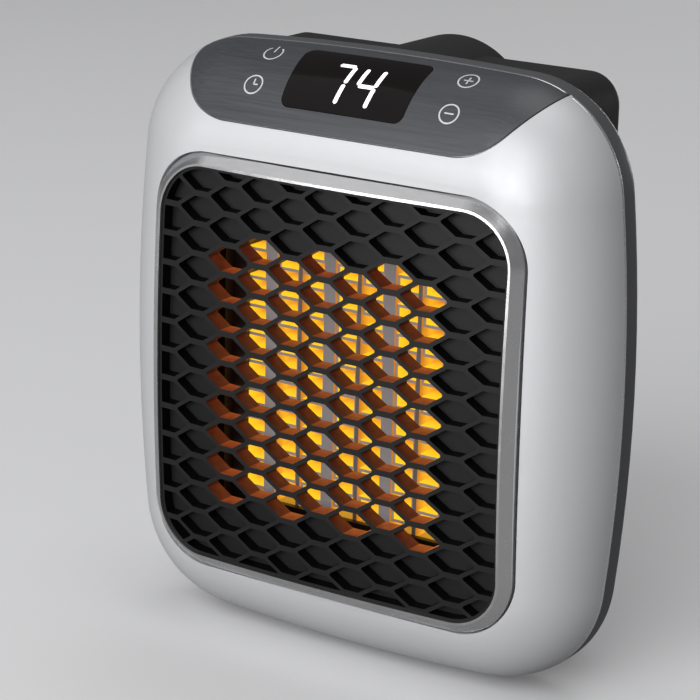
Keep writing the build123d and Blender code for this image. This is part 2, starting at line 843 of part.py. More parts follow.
def make_fin(number):
    """A corrugated strip: level sheets joined at alternate ends."""
    pair, side = divmod(number, 2)
    strip_x = (pair - (strip_count - 1) / 2) * strip_pitch
    offset_x = strip_thickness / 2 + fin_width / 2
    x = strip_x + (offset_x if side else -offset_x)
    count = int(core_height / fin_pitch)
    start = -(count - 1) / 2 * fin_pitch
    sheets = []
    for step in range(count):
        z = start + step * fin_pitch
        sheets.append(Pos(0, z) * Rectangle(fin_width, fin_sheet))
        if step < count - 1:
            end = fin_width / 2 - fin_sheet / 2
            turn_x = end if step % 2 else -end
            sheets.append(Pos(turn_x, z + fin_pitch / 2) * Rectangle(fin_sheet, fin_pitch + fin_sheet))
    outline = Pos(x, bezel_z) * (Sketch() + sheets)
    return prism(outline, core_front_y + fin_sheet, core_back_y - fin_sheet)


def make_core_cap(end):
    """Insulating sheet over or under the core."""
    z = bezel_z + end * (core_height / 2 + core_cap / 2)
    cap = box(2 * core_half_width, core_depth, core_cap, 0, terminal_y, z)
    return cap - terminal_slots() if end < 0 else cap


def terminal_slots():
    """Room for the two terminals under the core."""
    z = bezel_z - core_height / 2 - terminal_length / 2
    wide = terminal_width + 2 * seat_gap
    deep = terminal_sheet + 2 * seat_gap
    slots = Part()
    for side in (-1, 1):
        slots += box(wide, deep, terminal_length, side * strip_pitch / 2, terminal_y, z)
    return slots


def make_core_frame():
    """Heat-proof frame: a wall round the core with a lip that holds it at the front and back."""
    half_w = core_half_width
    half_h = core_height / 2 + core_cap
    wall = core_frame_wall
    lip = core_frame_lip
    frame = plate(half_w + wall, half_h + wall, wall / 2, core_front_y - lip, core_back_y + lip, z=bezel_z)
    inner = box(2 * half_w, core_depth, 2 * half_h, 0, terminal_y, bezel_z)
    mouth = box(2 * (half_w - lip), core_depth + 4 * lip, 2 * (half_h - lip), 0, terminal_y, bezel_z)
    return frame - inner - mouth - terminal_slots()


def mount_ears():
    """Centres of the ears round the throat."""
    ears = []
    for number in range(mount_arms):
        angle = -pi / 2 + 2 * pi / mount_arms * number
        ears.append((mount_screw_radius * cos(angle), bezel_z + mount_screw_radius * sin(angle)))
    return ears


def make_fan_duct():
    """Flange on the shell's ledge, a box round the core and a round throat round the impeller."""
    half_w = duct_half_width
    half_h = duct_half_height
    flange_w = bezel_width / 2 + trim_gap
    flange_h = bezel_height / 2 + trim_gap
    duct = plate(flange_w, flange_h, bezel_corner, ledge_back_y, ledge_back_y + duct_flange, z=bezel_z)
    duct += plate(half_w + duct_wall, half_h + duct_wall, duct_wall, ledge_back_y, duct_box_y, z=bezel_z)
    duct -= box(2 * half_w, 2 * (duct_box_depth - duct_wall), 2 * half_h, 0, ledge_back_y, bezel_z)
    duct += disc(throat_radius + duct_wall, duct_box_y - duct_wall, throat_back_y, z=bezel_z)
    for x, z in mount_ears():
        duct += disc(ear_radius, throat_back_y - 2 * ear_radius, throat_back_y, x, z)
        duct -= disc(small_screw_radius + seat_gap, throat_back_y - duct_screw_length, throat_back_y, x, z)
    duct -= disc(throat_radius, duct_box_y - 2 * duct_wall, throat_back_y + overrun, z=bezel_z)
    for x, z in duct_screw_places():
        duct -= disc(small_screw_radius + seat_gap, ledge_back_y, ledge_back_y + duct_flange, x, z)
    duct -= terminal_slots()
    cap_hole = Cylinder(thermostat_cap + seat_gap, 2 * duct_wall + 2 * seat_gap)
    return duct - Pos(thermostat_x, terminal_y, bezel_z + half_h) * cap_hole


def duct_screw_places():
    x = bezel_width / 2 + trim_gap - ledge_width / 2
    return [(side * x, bezel_z + drop) for side in (-1, 1) for drop in (-duct_screw_drop, duct_screw_drop)]


def make_core_terminals():
    """Two sheet tabs that stand out through the floor of the frame and the duct."""
    z = bezel_z - core_height / 2 - terminal_length / 2
    tabs = []
    for side in (-1, 1):
        x = side * strip_pitch / 2
        tabs.append(box(terminal_width, terminal_sheet, terminal_length, x, terminal_y, z))
    return Compound(tabs)


def make_thermostat():
    """Snap disc thermostat whose cap sits in the roof of the duct."""
    base_z = bezel_z + duct_half_height + duct_wall
    body = Cylinder(thermostat_radius, thermostat_height)
    body = Pos(thermostat_x, terminal_y, base_z + thermostat_height / 2) * body
    cap = Pos(thermostat_x, terminal_y, base_z - duct_wall / 2) * Cylinder(thermostat_cap, duct_wall)
    tab_z = base_z + thermostat_height + tab_length / 2
    for side in (-1, 1):
        tab_x = thermostat_x + side * thermostat_radius / 2
        body += box(tab_thickness, tab_width, tab_length, tab_x, terminal_y, tab_z)
    return body + cap


def make_thermal_fuse():
    base_z = bezel_z + duct_half_height + duct_wall
    leads = Cylinder(thin_wire_radius, fuse_length)
    body = Cylinder(fuse_radius, fuse_length / 2) + leads
    return Pos(-thermostat_x, terminal_y, base_z + fuse_radius) * Rot(0, 90, 0) * body


def make_impeller():
    """A cup-shaped hub with twisted vanes."""
    front = crown_y + impeller_front
    back = front + hub_depth
    hub = disc(hub_radius, front, back, z=bezel_z)
    hub = fillet(hub.faces().sort_by(Axis.Y)[0].edges(), hub_wall)
    hub -= disc(hub_radius - hub_wall, front + 2 * hub_wall, back, z=bezel_z)
    hub -= disc(shaft_radius + seat_gap, front + hub_wall, back, z=bezel_z)
    mid_y = front + hub_depth / 2
    vanes = []
    root_plane = Plane(origin=(hub_radius - 2 * hub_wall, 0, 0), x_dir=(0, 1, 0), z_dir=(1, 0, 0))
    tip_plane = Plane(origin=(impeller_radius, 0, 0), x_dir=(0, 1, 0), z_dir=(1, 0, 0))
    root = root_plane * Rot(0, 0, blade_pitch_root) * Rectangle(blade_chord_root, vane_thickness)
    tip = tip_plane * Rot(0, 0, blade_pitch_tip) * Rectangle(blade_chord_tip, vane_thickness)
    vane = loft([root.face(), tip.face()], ruled=True)
    reach = ring(2 * impeller_radius, hub_radius - hub_wall, -hub_depth / 2, hub_depth / 2)
    limit = disc(impeller_radius, -hub_depth / 2, hub_depth / 2)
    vane = vane & limit & reach
    for number in range(blade_count):
        vanes.append(Pos(0, mid_y, bezel_z) * Rot(0, 360 / blade_count * number, 0) * vane)
    wheel = hub
    for vane in vanes:
        wheel += vane
    return wheel


def make_motor():
    front = crown_y + motor_front
    can = disc(motor_radius, front, front + motor_length, z=bezel_z)
    can = fillet(can.faces().sort_by(Axis.Y)[0].edges(), hub_wall)
    return can - disc(shaft_radius + pin_gap, front - overrun, front + motor_length / 2, z=bezel_z)


def make_motor_shaft():
    front = crown_y + impeller_front + hub_wall
    return disc(shaft_radius, front, crown_y + motor_front + motor_length / 2, z=bezel_z)


def make_motor_cap():
    back = crown_y + motor_front + motor_length
    cap = disc(motor_cap_radius, back, back + motor_cap_depth, z=bezel_z)
    for side in (-1, 1):
        x = side * motor_cap_radius / 2
        cap -= disc(motor_cap_radius / 6, back, back + motor_cap_depth, x, bezel_z)
    return cap


def make_motor_mount():
    """A spider: outer ring on the throat's back, three arms and a collar that holds the motor."""
    front = throat_back_y
    back = front + mount_thickness
    outer = throat_radius + duct_wall
    mount = ring(outer, outer - mount_ring_width, front, back, z=bezel_z)
    for number, (x, z) in enumerate(mount_ears()):
        angle = -90 + 360 / mount_arms * number
        arm = Pos(mount_screw_radius / 2, 0) * Rectangle(mount_screw_radius, mount_arm_width)
        mount += prism(Pos(0, bezel_z) * Rot(0, 0, angle) * arm, front, back)
        mount += disc(ear_radius, front, back, x, z)
        mount -= disc(small_screw_radius + seat_gap, front, back, x, z)
    mount += disc(motor_radius + mount_collar_wall, front, front + mount_collar_depth, z=bezel_z)
    return mount - disc(motor_radius + seat_gap, front - overrun, back + mount_collar_depth, z=bezel_z)


def small_screw(head_y, x, z, way=-1, length=duct_screw_length):
    return screw(head_y, length, x, z, (small_screw_radius, small_head_radius, small_head), way)


def on_board(sketch, low, high):
    """Raise an outline drawn on the tilted board's plane from low to high above the roll axis."""
    return extrude(window_plane.offset(low) * sketch, amount=high - low)


def make_control_board():
    board = on_board(RectangleRounded(board_width, board_length, board_thickness), board_low, board_height)
    for side in (-1, 1):
        hole = Pos(side * board_post_x, board_post_y) * Circle(small_screw_radius + seat_gap)
        board -= on_board(hole, board_low, board_height)
    return board


def make_board_screws():
    screws = []
    for side in (-1, 1):
        spot = Pos(side * board_post_x, board_post_y)
        shank = on_board(spot * Circle(small_screw_radius), board_low, board_low + duct_screw_length)
        cap = on_board(spot * Circle(small_head_radius), board_low - small_head, board_low)
        slot = spot * Rectangle(2 * small_head_radius, screw_slot)
        screws.append(shank + cap - on_board(slot, board_low - small_head, board_low - small_head / 2))
    return Compound(screws)


def make_display_module():
    """A black block with two seven-bar digits let into its face."""
    top = display_height
    block = on_board(RectangleRounded(display_width, display_length, board_thickness), board_height, top)
    bars = []
    for side in (-1, 1):
        bars += digit_bars(side * digit_spacing / 2)
    return block - on_board(Sketch() + bars, top - digit_depth, top)


def digit_bars(centre_x):
    """Seven bars of one slanting digit."""
    length = digit_height / 2 - 2 * bar_gap
    bars = []
    for row in (-1, 0, 1):
        spot = Pos(centre_x + row * digit_height / 2 * digit_slant, row * digit_height / 2)
        bars.append(spot * RectangleRounded(digit_width, bar_width, bar_width / 3))
    for row in (-1, 1):
        for side in (-1, 1):
            x = centre_x + side * (digit_width / 2 + bar_width / 2 + bar_gap)
            rise = row * digit_height / 4
            bar = RectangleRounded(bar_width, length, bar_width / 3)
            bars.append(Pos(x + rise * digit_slant, rise) * Rot(0, 0, -digit_lean) * bar)
    return bars


def make_touch_springs():
    """Four coiled springs that carry the touch sensing up to the panel."""
    springs = []
    for side in (-1, 1):
        for rise in (touch_upper, touch_lower):
            roof = sqrt((front_roundness - shell_wall) ** 2 - (abs(rise) + touch_radius) ** 2)
            height = roof - touch_clearance - board_height - touch_wire
            coil = Helix(height / touch_turns, height, touch_radius - touch_wire / 2)
            profile = Plane(coil @ 0, z_dir=coil % 0) * Circle(touch_wire / 2)
            spring = sweep(profile, path=coil)
            spot = window_plane.offset(board_height + touch_wire / 2 + seat_gap) * Pos(side * touch_x, rise)
            springs.append(spot * spring)
    return Compound(springs)


def under_board(sketch, height):
    return on_board(sketch, board_low - height, board_low)


def make_power_board():
    front = power_board_y
    back = front + board_thickness
    half_w = power_board_width / 2
    half_h = power_board_height / 2
    board = plate(half_w, half_h, board_thickness, front, back, z=power_board_z)
    for x, z in power_screw_places():
        board -= disc(small_screw_radius + seat_gap, front, back, x, z)
    return board


def power_screw_places():
    low_z = power_board_z - power_post_rise
    return [(-power_post_x, low_z), (power_post_x, low_z), (upper_post_x, power_board_z + power_post_rise)]


def on_power_board(size, x, z):
    """A component of size (x, depth, z) standing on the front of the power board."""
    return box(size[0], size[1], size[2], x, power_board_y - size[1] / 2, z)


def terminal_box(width, x):
    return on_power_board((width, terminal_depth, terminal_height), x, terminal_z)


def make_capacitor():
    body = Cylinder(capacitor_radius, capacitor_length)
    body = fillet(body.edges().filter_by(GeomType.CIRCLE), capacitor_radius / 6)
    return Pos(capacitor_x, power_board_y - capacitor_radius, lower_row_z) * Rot(0, 90, 0) * body


def make_fuse():
    body = Rot(0, 90, 0) * Cylinder(fuse_radius, fuse_length)
    return Pos(fuse_x, power_board_y - fuse_radius, lower_row_z) * body


def wire(points, radius, bend):
    """A round wire along a path whose corners are rounded to bend."""
    path = FilletPolyline(*points, radius=bend) if len(points) > 2 else Line(*points)
    return sweep(Plane(path @ 0, z_dir=path % 0) * Circle(radius), path=path)


def make_line_wire():
    """From the line wiper to the switch."""
    start_z = -carrier_half_height / 2
    side_x = -wire_slot_half - 2 * wire_bend
    back_y = housing_back_y - housing_wall - 2 * wire_radius - trim_gap
    turn_x = tab_end_x + wire_bend
    tab_z = switch_z + tab_spacing
    return wire([
        (0, wiper_wire_y, start_z),
        (0, wiper_wire_y, wiper_wire_z - wire_bend),
        (side_x, wiper_wire_y, wiper_wire_z - wire_bend),
        (side_x, back_y, wiper_wire_z - 3 * wire_bend),
        (turn_x, back_y, tab_z + 2 * wire_bend),
        (turn_x + wire_bend, switch_y, tab_z),
        (tab_end_x, switch_y, tab_z),
    ], wire_radius, wire_bend)


def make_switched_wire():
    """From the switch to the power board."""
    tab_z = switch_z - tab_spacing
    return wire([
        (tab_end_x, switch_y, tab_z),
        (-mains_block_x, switch_y, tab_z),
        (-mains_block_x, switch_y, wire_slot_z),
        (-mains_block_x, front_wire_y, wire_slot_z),
        (-mains_block_x, front_wire_y, terminal_top_z),
    ], wire_radius, wire_bend)


def make_neutral_wire():
    """From the neutral wiper round the fan to the power board."""
    side_x = mount_screw_radius + 2 * wire_radius
    return wire([
        (neutral_x, wiper_wire_y, -carrier_half_height / 2),
        (neutral_x, wiper_wire_y, wiper_wire_z - wire_bend),
        (side_x, wiper_wire_y, wiper_wire_z - wire_bend),
        (side_x, wiper_wire_y, switch_z),
        (mains_block_x, wiper_wire_y, wire_slot_z),
        (mains_block_x, front_wire_y, wire_slot_z),
        (mains_block_x, front_wire_y, terminal_top_z),
    ], wire_radius, wire_bend)


def make_heater_wires():
    wires = []
    for side in (-1, 1):
        x = side * strip_pitch / 2
        start_z = bezel_z - core_height / 2 - terminal_length - seat_gap
        ends = [(x, terminal_y, start_z), (x, terminal_y, terminal_top_z)]
        wires.append(wire(ends, wire_radius, wire_bend))
    return Compound(wires)


def make_motor_wires():
    wires = []
    for side in (-1, 1):
        x = motor_plug_x - side * wire_pair
        z = bezel_z + side * wire_pair
        wires.append(wire([
            (-motor_radius - seat_gap, motor_wire_y, z),
            (x, motor_wire_y, z),
            (x, motor_wire_y, wire_slot_z),
            (x, front_wire_y, wire_slot_z),
            (x, front_wire_y, terminal_top_z),
        ], thin_wire_radius, wire_bend))
    return Compound(wires)


def make_signal_wires():
    """Three thin wires from the control board down to the power board."""
    wires = []
    start = window_plane.offset(board_low - plug_height - seat_gap)
    turn = start.offset(-2 * wire_bend)
    for number in (-1, 0, 1):
        shift = number * wire_pair
        first = start.from_local_coords((shift, plug_y, 0))
        second = turn.from_local_coords((shift, plug_y, 0))
        level = second.Z - wire_bend - wire_pair - shift
        wires.append(wire([
            first,
            second,
            (shift, front_wire_y, level),
            (signal_plug_x + shift, front_wire_y, level),
            (signal_plug_x + shift, front_wire_y, terminal_top_z),
        ], thin_wire_radius, wire_bend - thin_wire_radius))
    return Compound(wires)


def small_screw_set(places, head_y, way=-1):
    return Compound([small_screw(head_y, x, z, way) for x, z in places])


def four_places(x, rises):
    return [(side * x, middle_z + rise) for side in (-1, 1) for rise in rises]


def main():
    save("front_shell", make_front_shell())
    save("control_panel", make_control_panel())
    save("display_window", make_display_window())
    save("bezel_ring", make_bezel_ring())
    save("grille", make_grille())
    save("rear_tray", make_rear_tray())
    save("rear_housing", make_rear_housing())
    save("plug_turret", make_plug_turret())
    save("line_blade", make_blade(-1))
    save("neutral_blade", make_blade(1))
    save("line_contact", make_line_contact())
    save("neutral_contact", make_neutral_contact())
    save("turret_retainer", make_turret_retainer())
    save("friction_washer", make_friction_washer())
    save("wiper_bridge", make_wiper_bridge())
    save("line_wiper", make_wiper(0))
    save("neutral_wiper", make_wiper(neutral_x))
    save("switch_frame", make_switch_frame())
    save("switch_rocker", make_switch_rocker())
    save("switch_tabs", make_switch_tabs())
    save("heater_strips", Compound([make_strip(number) for number in range(strip_count)]))
    save("core_dividers", Compound([make_divider(number) for number in range(strip_count - 1)]))
    save("heater_fins", Compound([make_fin(number) for number in range(2 * strip_count)]))
    save("core_insulators", Compound([make_core_cap(end) for end in (-1, 1)]))
    save("core_frame", make_core_frame())
    save("core_terminals", make_core_terminals())
    save("thermostat", make_thermostat())
    save("thermal_fuse", make_thermal_fuse())
    save("fan_duct", make_fan_duct())
    save("fan_impeller", make_impeller())
    save("fan_motor", make_motor())
    save("motor_shaft", make_motor_shaft())
    save("motor_cap", make_motor_cap())
    save("motor_mount", make_motor_mount())
    save("control_board", make_control_board())
    save("display_module", make_display_module())
    save("touch_springs", make_touch_springs())
    save("buzzer", under_board(Pos(buzzer_x, 0) * Circle(buzzer_radius), buzzer_height))
    save("controller_chip", under_board(Pos(chip_x, 0) * Rectangle(chip_size, chip_size), chip_height))
    save("room_sensor", under_board(Pos(sensor_x, plug_y) * Circle(sensor_radius), sensor_height))
    save("board_plug", under_board(Pos(0, plug_y) * Rectangle(plug_length, plug_width), plug_height))
    save("power_board", make_power_board())
    save("relay", on_power_board(relay_size, relay_x, lower_row_z))
    save("film_capacitor", on_power_board(film_size, film_x, lower_row_z))
    save("electrolytic_capacitor", make_capacitor())
    save("fuse", make_fuse())
    save("heater_terminals", terminal_box(heater_block, 0))
    save("mains_terminals", Compound([terminal_box(mains_block, side * mains_block_x) for side in (-1, 1)]))
    save("board_sockets", Compound([terminal_box(small_block, x) for x in (motor_plug_x, signal_plug_x)]))
    save("line_wire", make_line_wire())
    save("switched_wire", make_switched_wire())
    save("neutral_wire", make_neutral_wire())
    save("heater_wires", make_heater_wires())
    save("motor_wires", make_motor_wires())
    save("signal_wires", make_signal_wires())
    places = four_places(body_screw_x, (body_screw_up, body_screw_down))
    save("body_screws", Compound([screw(body_seat_y, body_screw_length, x, z) for x, z in places]))
    places = four_places(housing_post_x, (housing_post_up, housing_post_down))
    screws = [screw(tray_inner_y, housing_screw_length, x, z, way=1) for x, z in places]
    save("housing_screws", Compound(screws))
    save("duct_screws", small_screw_set(duct_screw_places(), ledge_back_y + duct_flange))
    mount_set = small_screw_set(mount_ears(), throat_back_y + mount_thickness)
    bridge_set = small_screw_set([(-lug_x, 0), (lug_x, 0)], carrier_y, way=1)
    board_set = small_screw_set(power_screw_places(), power_board_y, way=1)
    sets = [mount_set, bridge_set, board_set, make_board_screws()]
    save("small_screws", Compound([solid for group in sets for solid in group.solids()]))


main()
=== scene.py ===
# %% [markdown]
# # A plug-in fan heater
# This lesson dresses a small wall heater: a silver pillow-shaped body with a honeycomb
# grille, a glowing ceramic core behind it, a dark touch panel over the top edge and a
# black housing with a turning plug at the back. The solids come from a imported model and
# stay where they are. What is added here is the look: finishes made of nodes, printed
# signs, a lit display and one fine bead of metal that a solid model leaves out.

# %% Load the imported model
import math

import bmesh
import bpy
from mathutils import Matrix, Vector
from mathutils.bvhtree import BVHTree


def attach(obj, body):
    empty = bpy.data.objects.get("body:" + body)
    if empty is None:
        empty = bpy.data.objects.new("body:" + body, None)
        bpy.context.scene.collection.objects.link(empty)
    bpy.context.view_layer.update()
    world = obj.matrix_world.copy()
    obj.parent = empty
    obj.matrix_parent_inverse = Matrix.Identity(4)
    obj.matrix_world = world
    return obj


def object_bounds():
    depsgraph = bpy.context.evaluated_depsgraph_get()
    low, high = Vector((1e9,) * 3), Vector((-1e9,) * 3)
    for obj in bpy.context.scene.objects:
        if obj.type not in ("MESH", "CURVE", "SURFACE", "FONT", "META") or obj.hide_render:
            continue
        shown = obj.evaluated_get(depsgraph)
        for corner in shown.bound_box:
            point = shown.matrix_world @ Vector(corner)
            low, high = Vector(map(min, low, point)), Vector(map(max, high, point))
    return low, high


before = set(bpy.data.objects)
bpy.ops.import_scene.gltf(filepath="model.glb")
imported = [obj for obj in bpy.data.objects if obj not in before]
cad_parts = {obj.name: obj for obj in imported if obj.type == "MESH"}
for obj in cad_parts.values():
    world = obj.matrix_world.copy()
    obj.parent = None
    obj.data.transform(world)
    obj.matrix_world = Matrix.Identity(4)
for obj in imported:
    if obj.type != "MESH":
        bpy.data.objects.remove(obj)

cad_box = [list(corner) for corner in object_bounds()]
MM = 0.001
print("pieces in the model:", len(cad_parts))

# %% [markdown]
# ## Writing shader maths as sums
# A material in Blender is a graph of nodes. Wiring each sum by hand hides what it means,
# so one small class wraps a socket and lets Python's own signs build the Math nodes:
# `1 - mask` adds a Subtract node. A second class holds a material and has one method
# that adds any other node, with its settings first and then its inputs.


# %% Sockets that can be added up
class Wire:
    """One output socket of a node, so that shader maths reads as Python."""

    def __init__(self, finish, socket):
        self.finish = finish
        self.socket = socket

    def out(self, name):
        """Another output of the same node."""
        return Wire(self.finish, self.socket.node.outputs[name])

    def maths(self, operation, *others):
        """A Math node with this socket as its first input."""
        values = dict(enumerate((self, *others)))
        return self.finish.add("Math", {"operation": operation}, values)

    def __add__(self, other):
        return self.maths("ADD", other)

    def __sub__(self, other):
        return self.maths("SUBTRACT", other)

    def __rsub__(self, other):
        return self.finish.add("Math", {"operation": "SUBTRACT"}, {0: other, 1: self})

    def __mul__(self, other):
        return self.maths("MULTIPLY", other)

    def __truediv__(self, other):
        return self.maths("DIVIDE", other)

    def __lt__(self, other):
        return self.maths("LESS_THAN", other)

    def __gt__(self, other):
        return self.maths("GREATER_THAN", other)

    def __abs__(self):
        return self.maths("ABSOLUTE")


print("sockets add, subtract, multiply, divide and compare")


# %% A material with one method for every node
class Finish:
    """A material with one Principled shader, built node by node."""

    def __init__(self, name, **constants):
        self.material = bpy.data.materials.new(name)
        self.material.use_nodes = True
        self.nodes = self.material.node_tree.nodes
        self.shader = self.nodes["Principled BSDF"]
        for label, value in constants.items():
            self.shader.inputs[label.replace("_", " ").title()].default_value = value

    def add(self, kind, settings=None, inputs=None, output=0):
        """Add any node: its settings first, then its inputs."""
        node = self.nodes.new("ShaderNode" + kind)
        for label, value in (settings or {}).items():
            if label == "stops":
                self.set_stops(node.color_ramp, value)
            else:
                setattr(node, label, value)
        for label, value in (inputs or {}).items():
            self.feed(node.inputs[label], value)
        return Wire(self, node.outputs[output])

    def set_stops(self, ramp, stops):
        while len(ramp.elements) < len(stops):
            ramp.elements.new(0.5)
        for element, (place, colour) in zip(ramp.elements, stops):
            element.position = place
            element.color = (*colour, 1)

    def feed(self, socket, value):
        """Link a wire to a socket, or set the socket's own value."""
        if isinstance(value, Wire):
            self.material.node_tree.links.new(value.socket, socket)
        else:
            socket.default_value = value

    def set(self, label, value):
        """Feed an input of the shader itself."""
        self.feed(self.shader.inputs[label], value)
        return self

    def mix(self, factor, low, high):
        """Blend two colours."""
        low, high = [(*c, 1) if isinstance(c, tuple) else c for c in (low, high)]
        return self.add("Mix", {"data_type": "RGBA"}, {0: factor, 6: low, 7: high}, output=2)

    def place(self):
        """Position on the model in millimetres."""
        return self.scale(self.add("TexCoord").out("Object"), 1 / MM)

    def normal(self):
        """Which way the surface faces, in the model's own axes."""
        return self.add("TexCoord").out("Normal")

    def scale(self, vector, by):
        return self.add("VectorMath", {"operation": "SCALE"}, {0: vector, "Scale": by})

    def join(self, first, second):
        """Add two vectors."""
        return self.add("VectorMath", {"operation": "ADD"}, {0: first, 1: second})

    def stretch(self, vector, by):
        """Stretch the pattern's space along its axes."""
        return self.add("VectorMath", {"operation": "MULTIPLY"}, {0: vector, 1: by})

    def parts(self, vector):
        """The three numbers of a vector."""
        split = self.add("SeparateXYZ", {}, {0: vector})
        return split, split.out("Y"), split.out("Z")

    def ramp(self, factor, *stops):
        """Turn a number into a colour."""
        return self.add("ValToRGB", {"stops": stops}, {0: factor})

    def noise(self, vector, scale, detail=3.0, roughness=0.5):
        """Soft noise; the scale is in clouds for each millimetre."""
        values = {"Vector": vector, "Scale": scale, "Detail": detail, "Roughness": roughness}
        return self.add("TexNoise", {}, values)

    def bump(self, height, strength, distance):
        """A Bump node; strength and distance are the same all over."""
        values = {"Strength": strength, "Distance": distance * MM, "Height": height}
        return self.add("Bump", {}, values)


print("shader helpers ready")

# %% [markdown]
# ## Camera
# The photograph was measured against the grille's even lattice of cells, which gives
# the camera's direction, its small roll and its distance. The camera is set by three
# angles, so that its frame of right, up and back vectors can be written down directly.

# %% Camera at the photograph's angle
CAMERA_SIDE = math.radians(33.242)
CAMERA_UP = math.radians(16.703)
CAMERA_ROLL = math.radians(1.285)
CAMERA_PLACE = Vector((0.3531, -0.5893, 0.1413))
FOCAL_PIXELS = 2600.1
IMAGE_WIDTH = 700
SENSOR_WIDTH = 36
NEAREST = 0.01

back = Vector((
    math.sin(CAMERA_SIDE) * math.cos(CAMERA_UP),
    -math.cos(CAMERA_SIDE) * math.cos(CAMERA_UP),
    math.sin(CAMERA_UP),
))
level_right = Vector((0, 0, 1)).cross(back).normalized()
level_up = back.cross(level_right)
right = math.cos(CAMERA_ROLL) * level_right + math.sin(CAMERA_ROLL) * level_up
up = math.cos(CAMERA_ROLL) * level_up - math.sin(CAMERA_ROLL) * level_right
camera_data = bpy.data.cameras.new("camera")
camera_data.sensor_width = SENSOR_WIDTH
camera_data.lens = FOCAL_PIXELS * SENSOR_WIDTH / IMAGE_WIDTH
camera_data.clip_start = NEAREST
camera = bpy.data.objects.new("camera", camera_data)
camera.matrix_world = Matrix((
    (right.x, up.x, back.x, CAMERA_PLACE.x),
    (right.y, up.y, back.y, CAMERA_PLACE.y),
    (right.z, up.z, back.z, CAMERA_PLACE.z),
    (0, 0, 0, 1),
))
bpy.context.collection.objects.link(camera)
bpy.context.scene.camera = camera
print("lens", round(camera_data.lens, 1), "mm")

# %% [markdown]
# ## Floor
# The floor is a pale sheet just under the heater's lowest point. To the camera it is
# nearly white, but it throws little light back and looks dark in mirror images, so both
# sides of the body can fall off into shade, as they do in the photograph. The Light Path
# node tells the three kinds of ray apart.

# %% Pale floor
FLOOR_REACH = 6.0
FLOOR_DROP = 0.0002
SEEN_PAPER = (0.9, 0.9, 0.91)
MIRRORED_PAPER = (0.34, 0.34, 0.34)
BOUNCED_PAPER = (0.16, 0.16, 0.16)

floor_z = cad_box[0][2] - FLOOR_DROP
floor_mesh = bpy.data.meshes.new("floor")
corners = [(x * FLOOR_REACH, y * FLOOR_REACH, floor_z) for x, y in ((-1, -1), (1, -1), (1, 1), (-1, 1))]
floor_mesh.from_pydata(corners, [], [(0, 1, 2, 3)])
floor = bpy.data.objects.new("floor", floor_mesh)
bpy.context.collection.objects.link(floor)
paper = Finish("pale_paper", roughness=0.9)
ray = paper.add("LightPath")
indirect = paper.mix(ray.out("Is Glossy Ray"), BOUNCED_PAPER, MIRRORED_PAPER)
paper.set("Base Color", paper.mix(ray.out("Is Camera Ray"), indirect, SEEN_PAPER))
floor_mesh.materials.append(paper.material)
print("floor at", round(floor_z, 4))

# %% [markdown]
# ## Lamps
# The light is soft. One wide lamp in front lights the face and the rounded top, a low one
# in front lights the underside, and one overhead lights the top edge. A dim panel above
# the left gives the bezel's upper band something bright to mirror, and a low strip behind
# shows the housing's back. The world is a dim plain grey.

# %% Lamps and world
MIDDLE = (0, -0.04, -0.056)
LAMPS = (
    ("key", (0.15, -2.45, 1.3), (2.2, 2.2), 43),
    ("low", (-0.1, -1.5, 0.05), (1.6, 0.3), 12),
    ("top", (0.1, 0.3, 1.9), (1.6, 1.2), 9),
    ("panel", (-1.0, -0.85, 1.45), (1.3, 1.0), 2.2),
    ("rear", (-0.1, 2.2, 0.02), (1.4, 0.24), 8),
)
WORLD_COLOUR = (0.9, 0.9, 0.92, 1)
WORLD_STRENGTH = 0.19

for lamp_name, lamp_place, lamp_size, watts in LAMPS:
    lamp_data = bpy.data.lights.new(lamp_name, "AREA")
    lamp_data.shape = "RECTANGLE"
    lamp_data.size, lamp_data.size_y = lamp_size
    lamp_data.energy = watts
    lamp = bpy.data.objects.new(lamp_name, lamp_data)
    lamp.location = lamp_place
    view = Vector(MIDDLE) - Vector(lamp_place)
    lamp.rotation_euler = view.to_track_quat("-Z", "Y").to_euler()
    bpy.context.collection.objects.link(lamp)
world = bpy.data.worlds.new("studio")
world.use_nodes = True
world.node_tree.nodes["Background"].inputs["Color"].default_value = WORLD_COLOUR
world.node_tree.nodes["Background"].inputs["Strength"].default_value = WORLD_STRENGTH
bpy.context.scene.world = world
bpy.context.scene.view_settings.view_transform = "Standard"
print("lamps:", ", ".join(row[0] for row in LAMPS))

# %% [markdown]
# ## Families of finishes
# Most pieces of a heater are moulded plastic, sheet metal or wire. One recipe serves each
# family: a colour with faint clouds, a roughness that varies a little, and a grain from a
# small bump. The numbers that tell one piece from the next are its arguments, so two
# dozen finishes need only a line or two each and share their scale in millimetres.

# %% Recipes for plastic and metal
CLOUD_SCALE = 0.05
GLOSS_SCALE = 0.4
GLOSS_SWING = 0.12
GRAIN_STRENGTH = 0.6
LINE_SCALE = 0.8
LINE_SWING = 0.2
LINE_STRENGTH = 0.5
STAIN_SCALE = 0.12


def shade(colour, by):
    """A colour made darker or lighter."""
    return tuple(min(part * by, 1) for part in colour)


def moulded(name, colour, roughness=0.5, grain=0.6, height=0.01, clouds=0.12, coat=0.0):
    """Moulded plastic with a spark-eroded grain about `grain` millimetres wide."""
    made = Finish(name, coat_weight=coat)
    place = made.place()
    cloud = made.noise(place, CLOUD_SCALE)
    made.set("Base Color", made.mix(cloud, shade(colour, 1 - clouds), shade(colour, 1 + clouds)))
    gloss = made.noise(place, GLOSS_SCALE)
    made.set("Roughness", gloss * GLOSS_SWING + (roughness - GLOSS_SWING / 2))
    grains = made.noise(place, 1 / grain, detail=2)
    return made.set("Normal", made.bump(grains, GRAIN_STRENGTH, height))


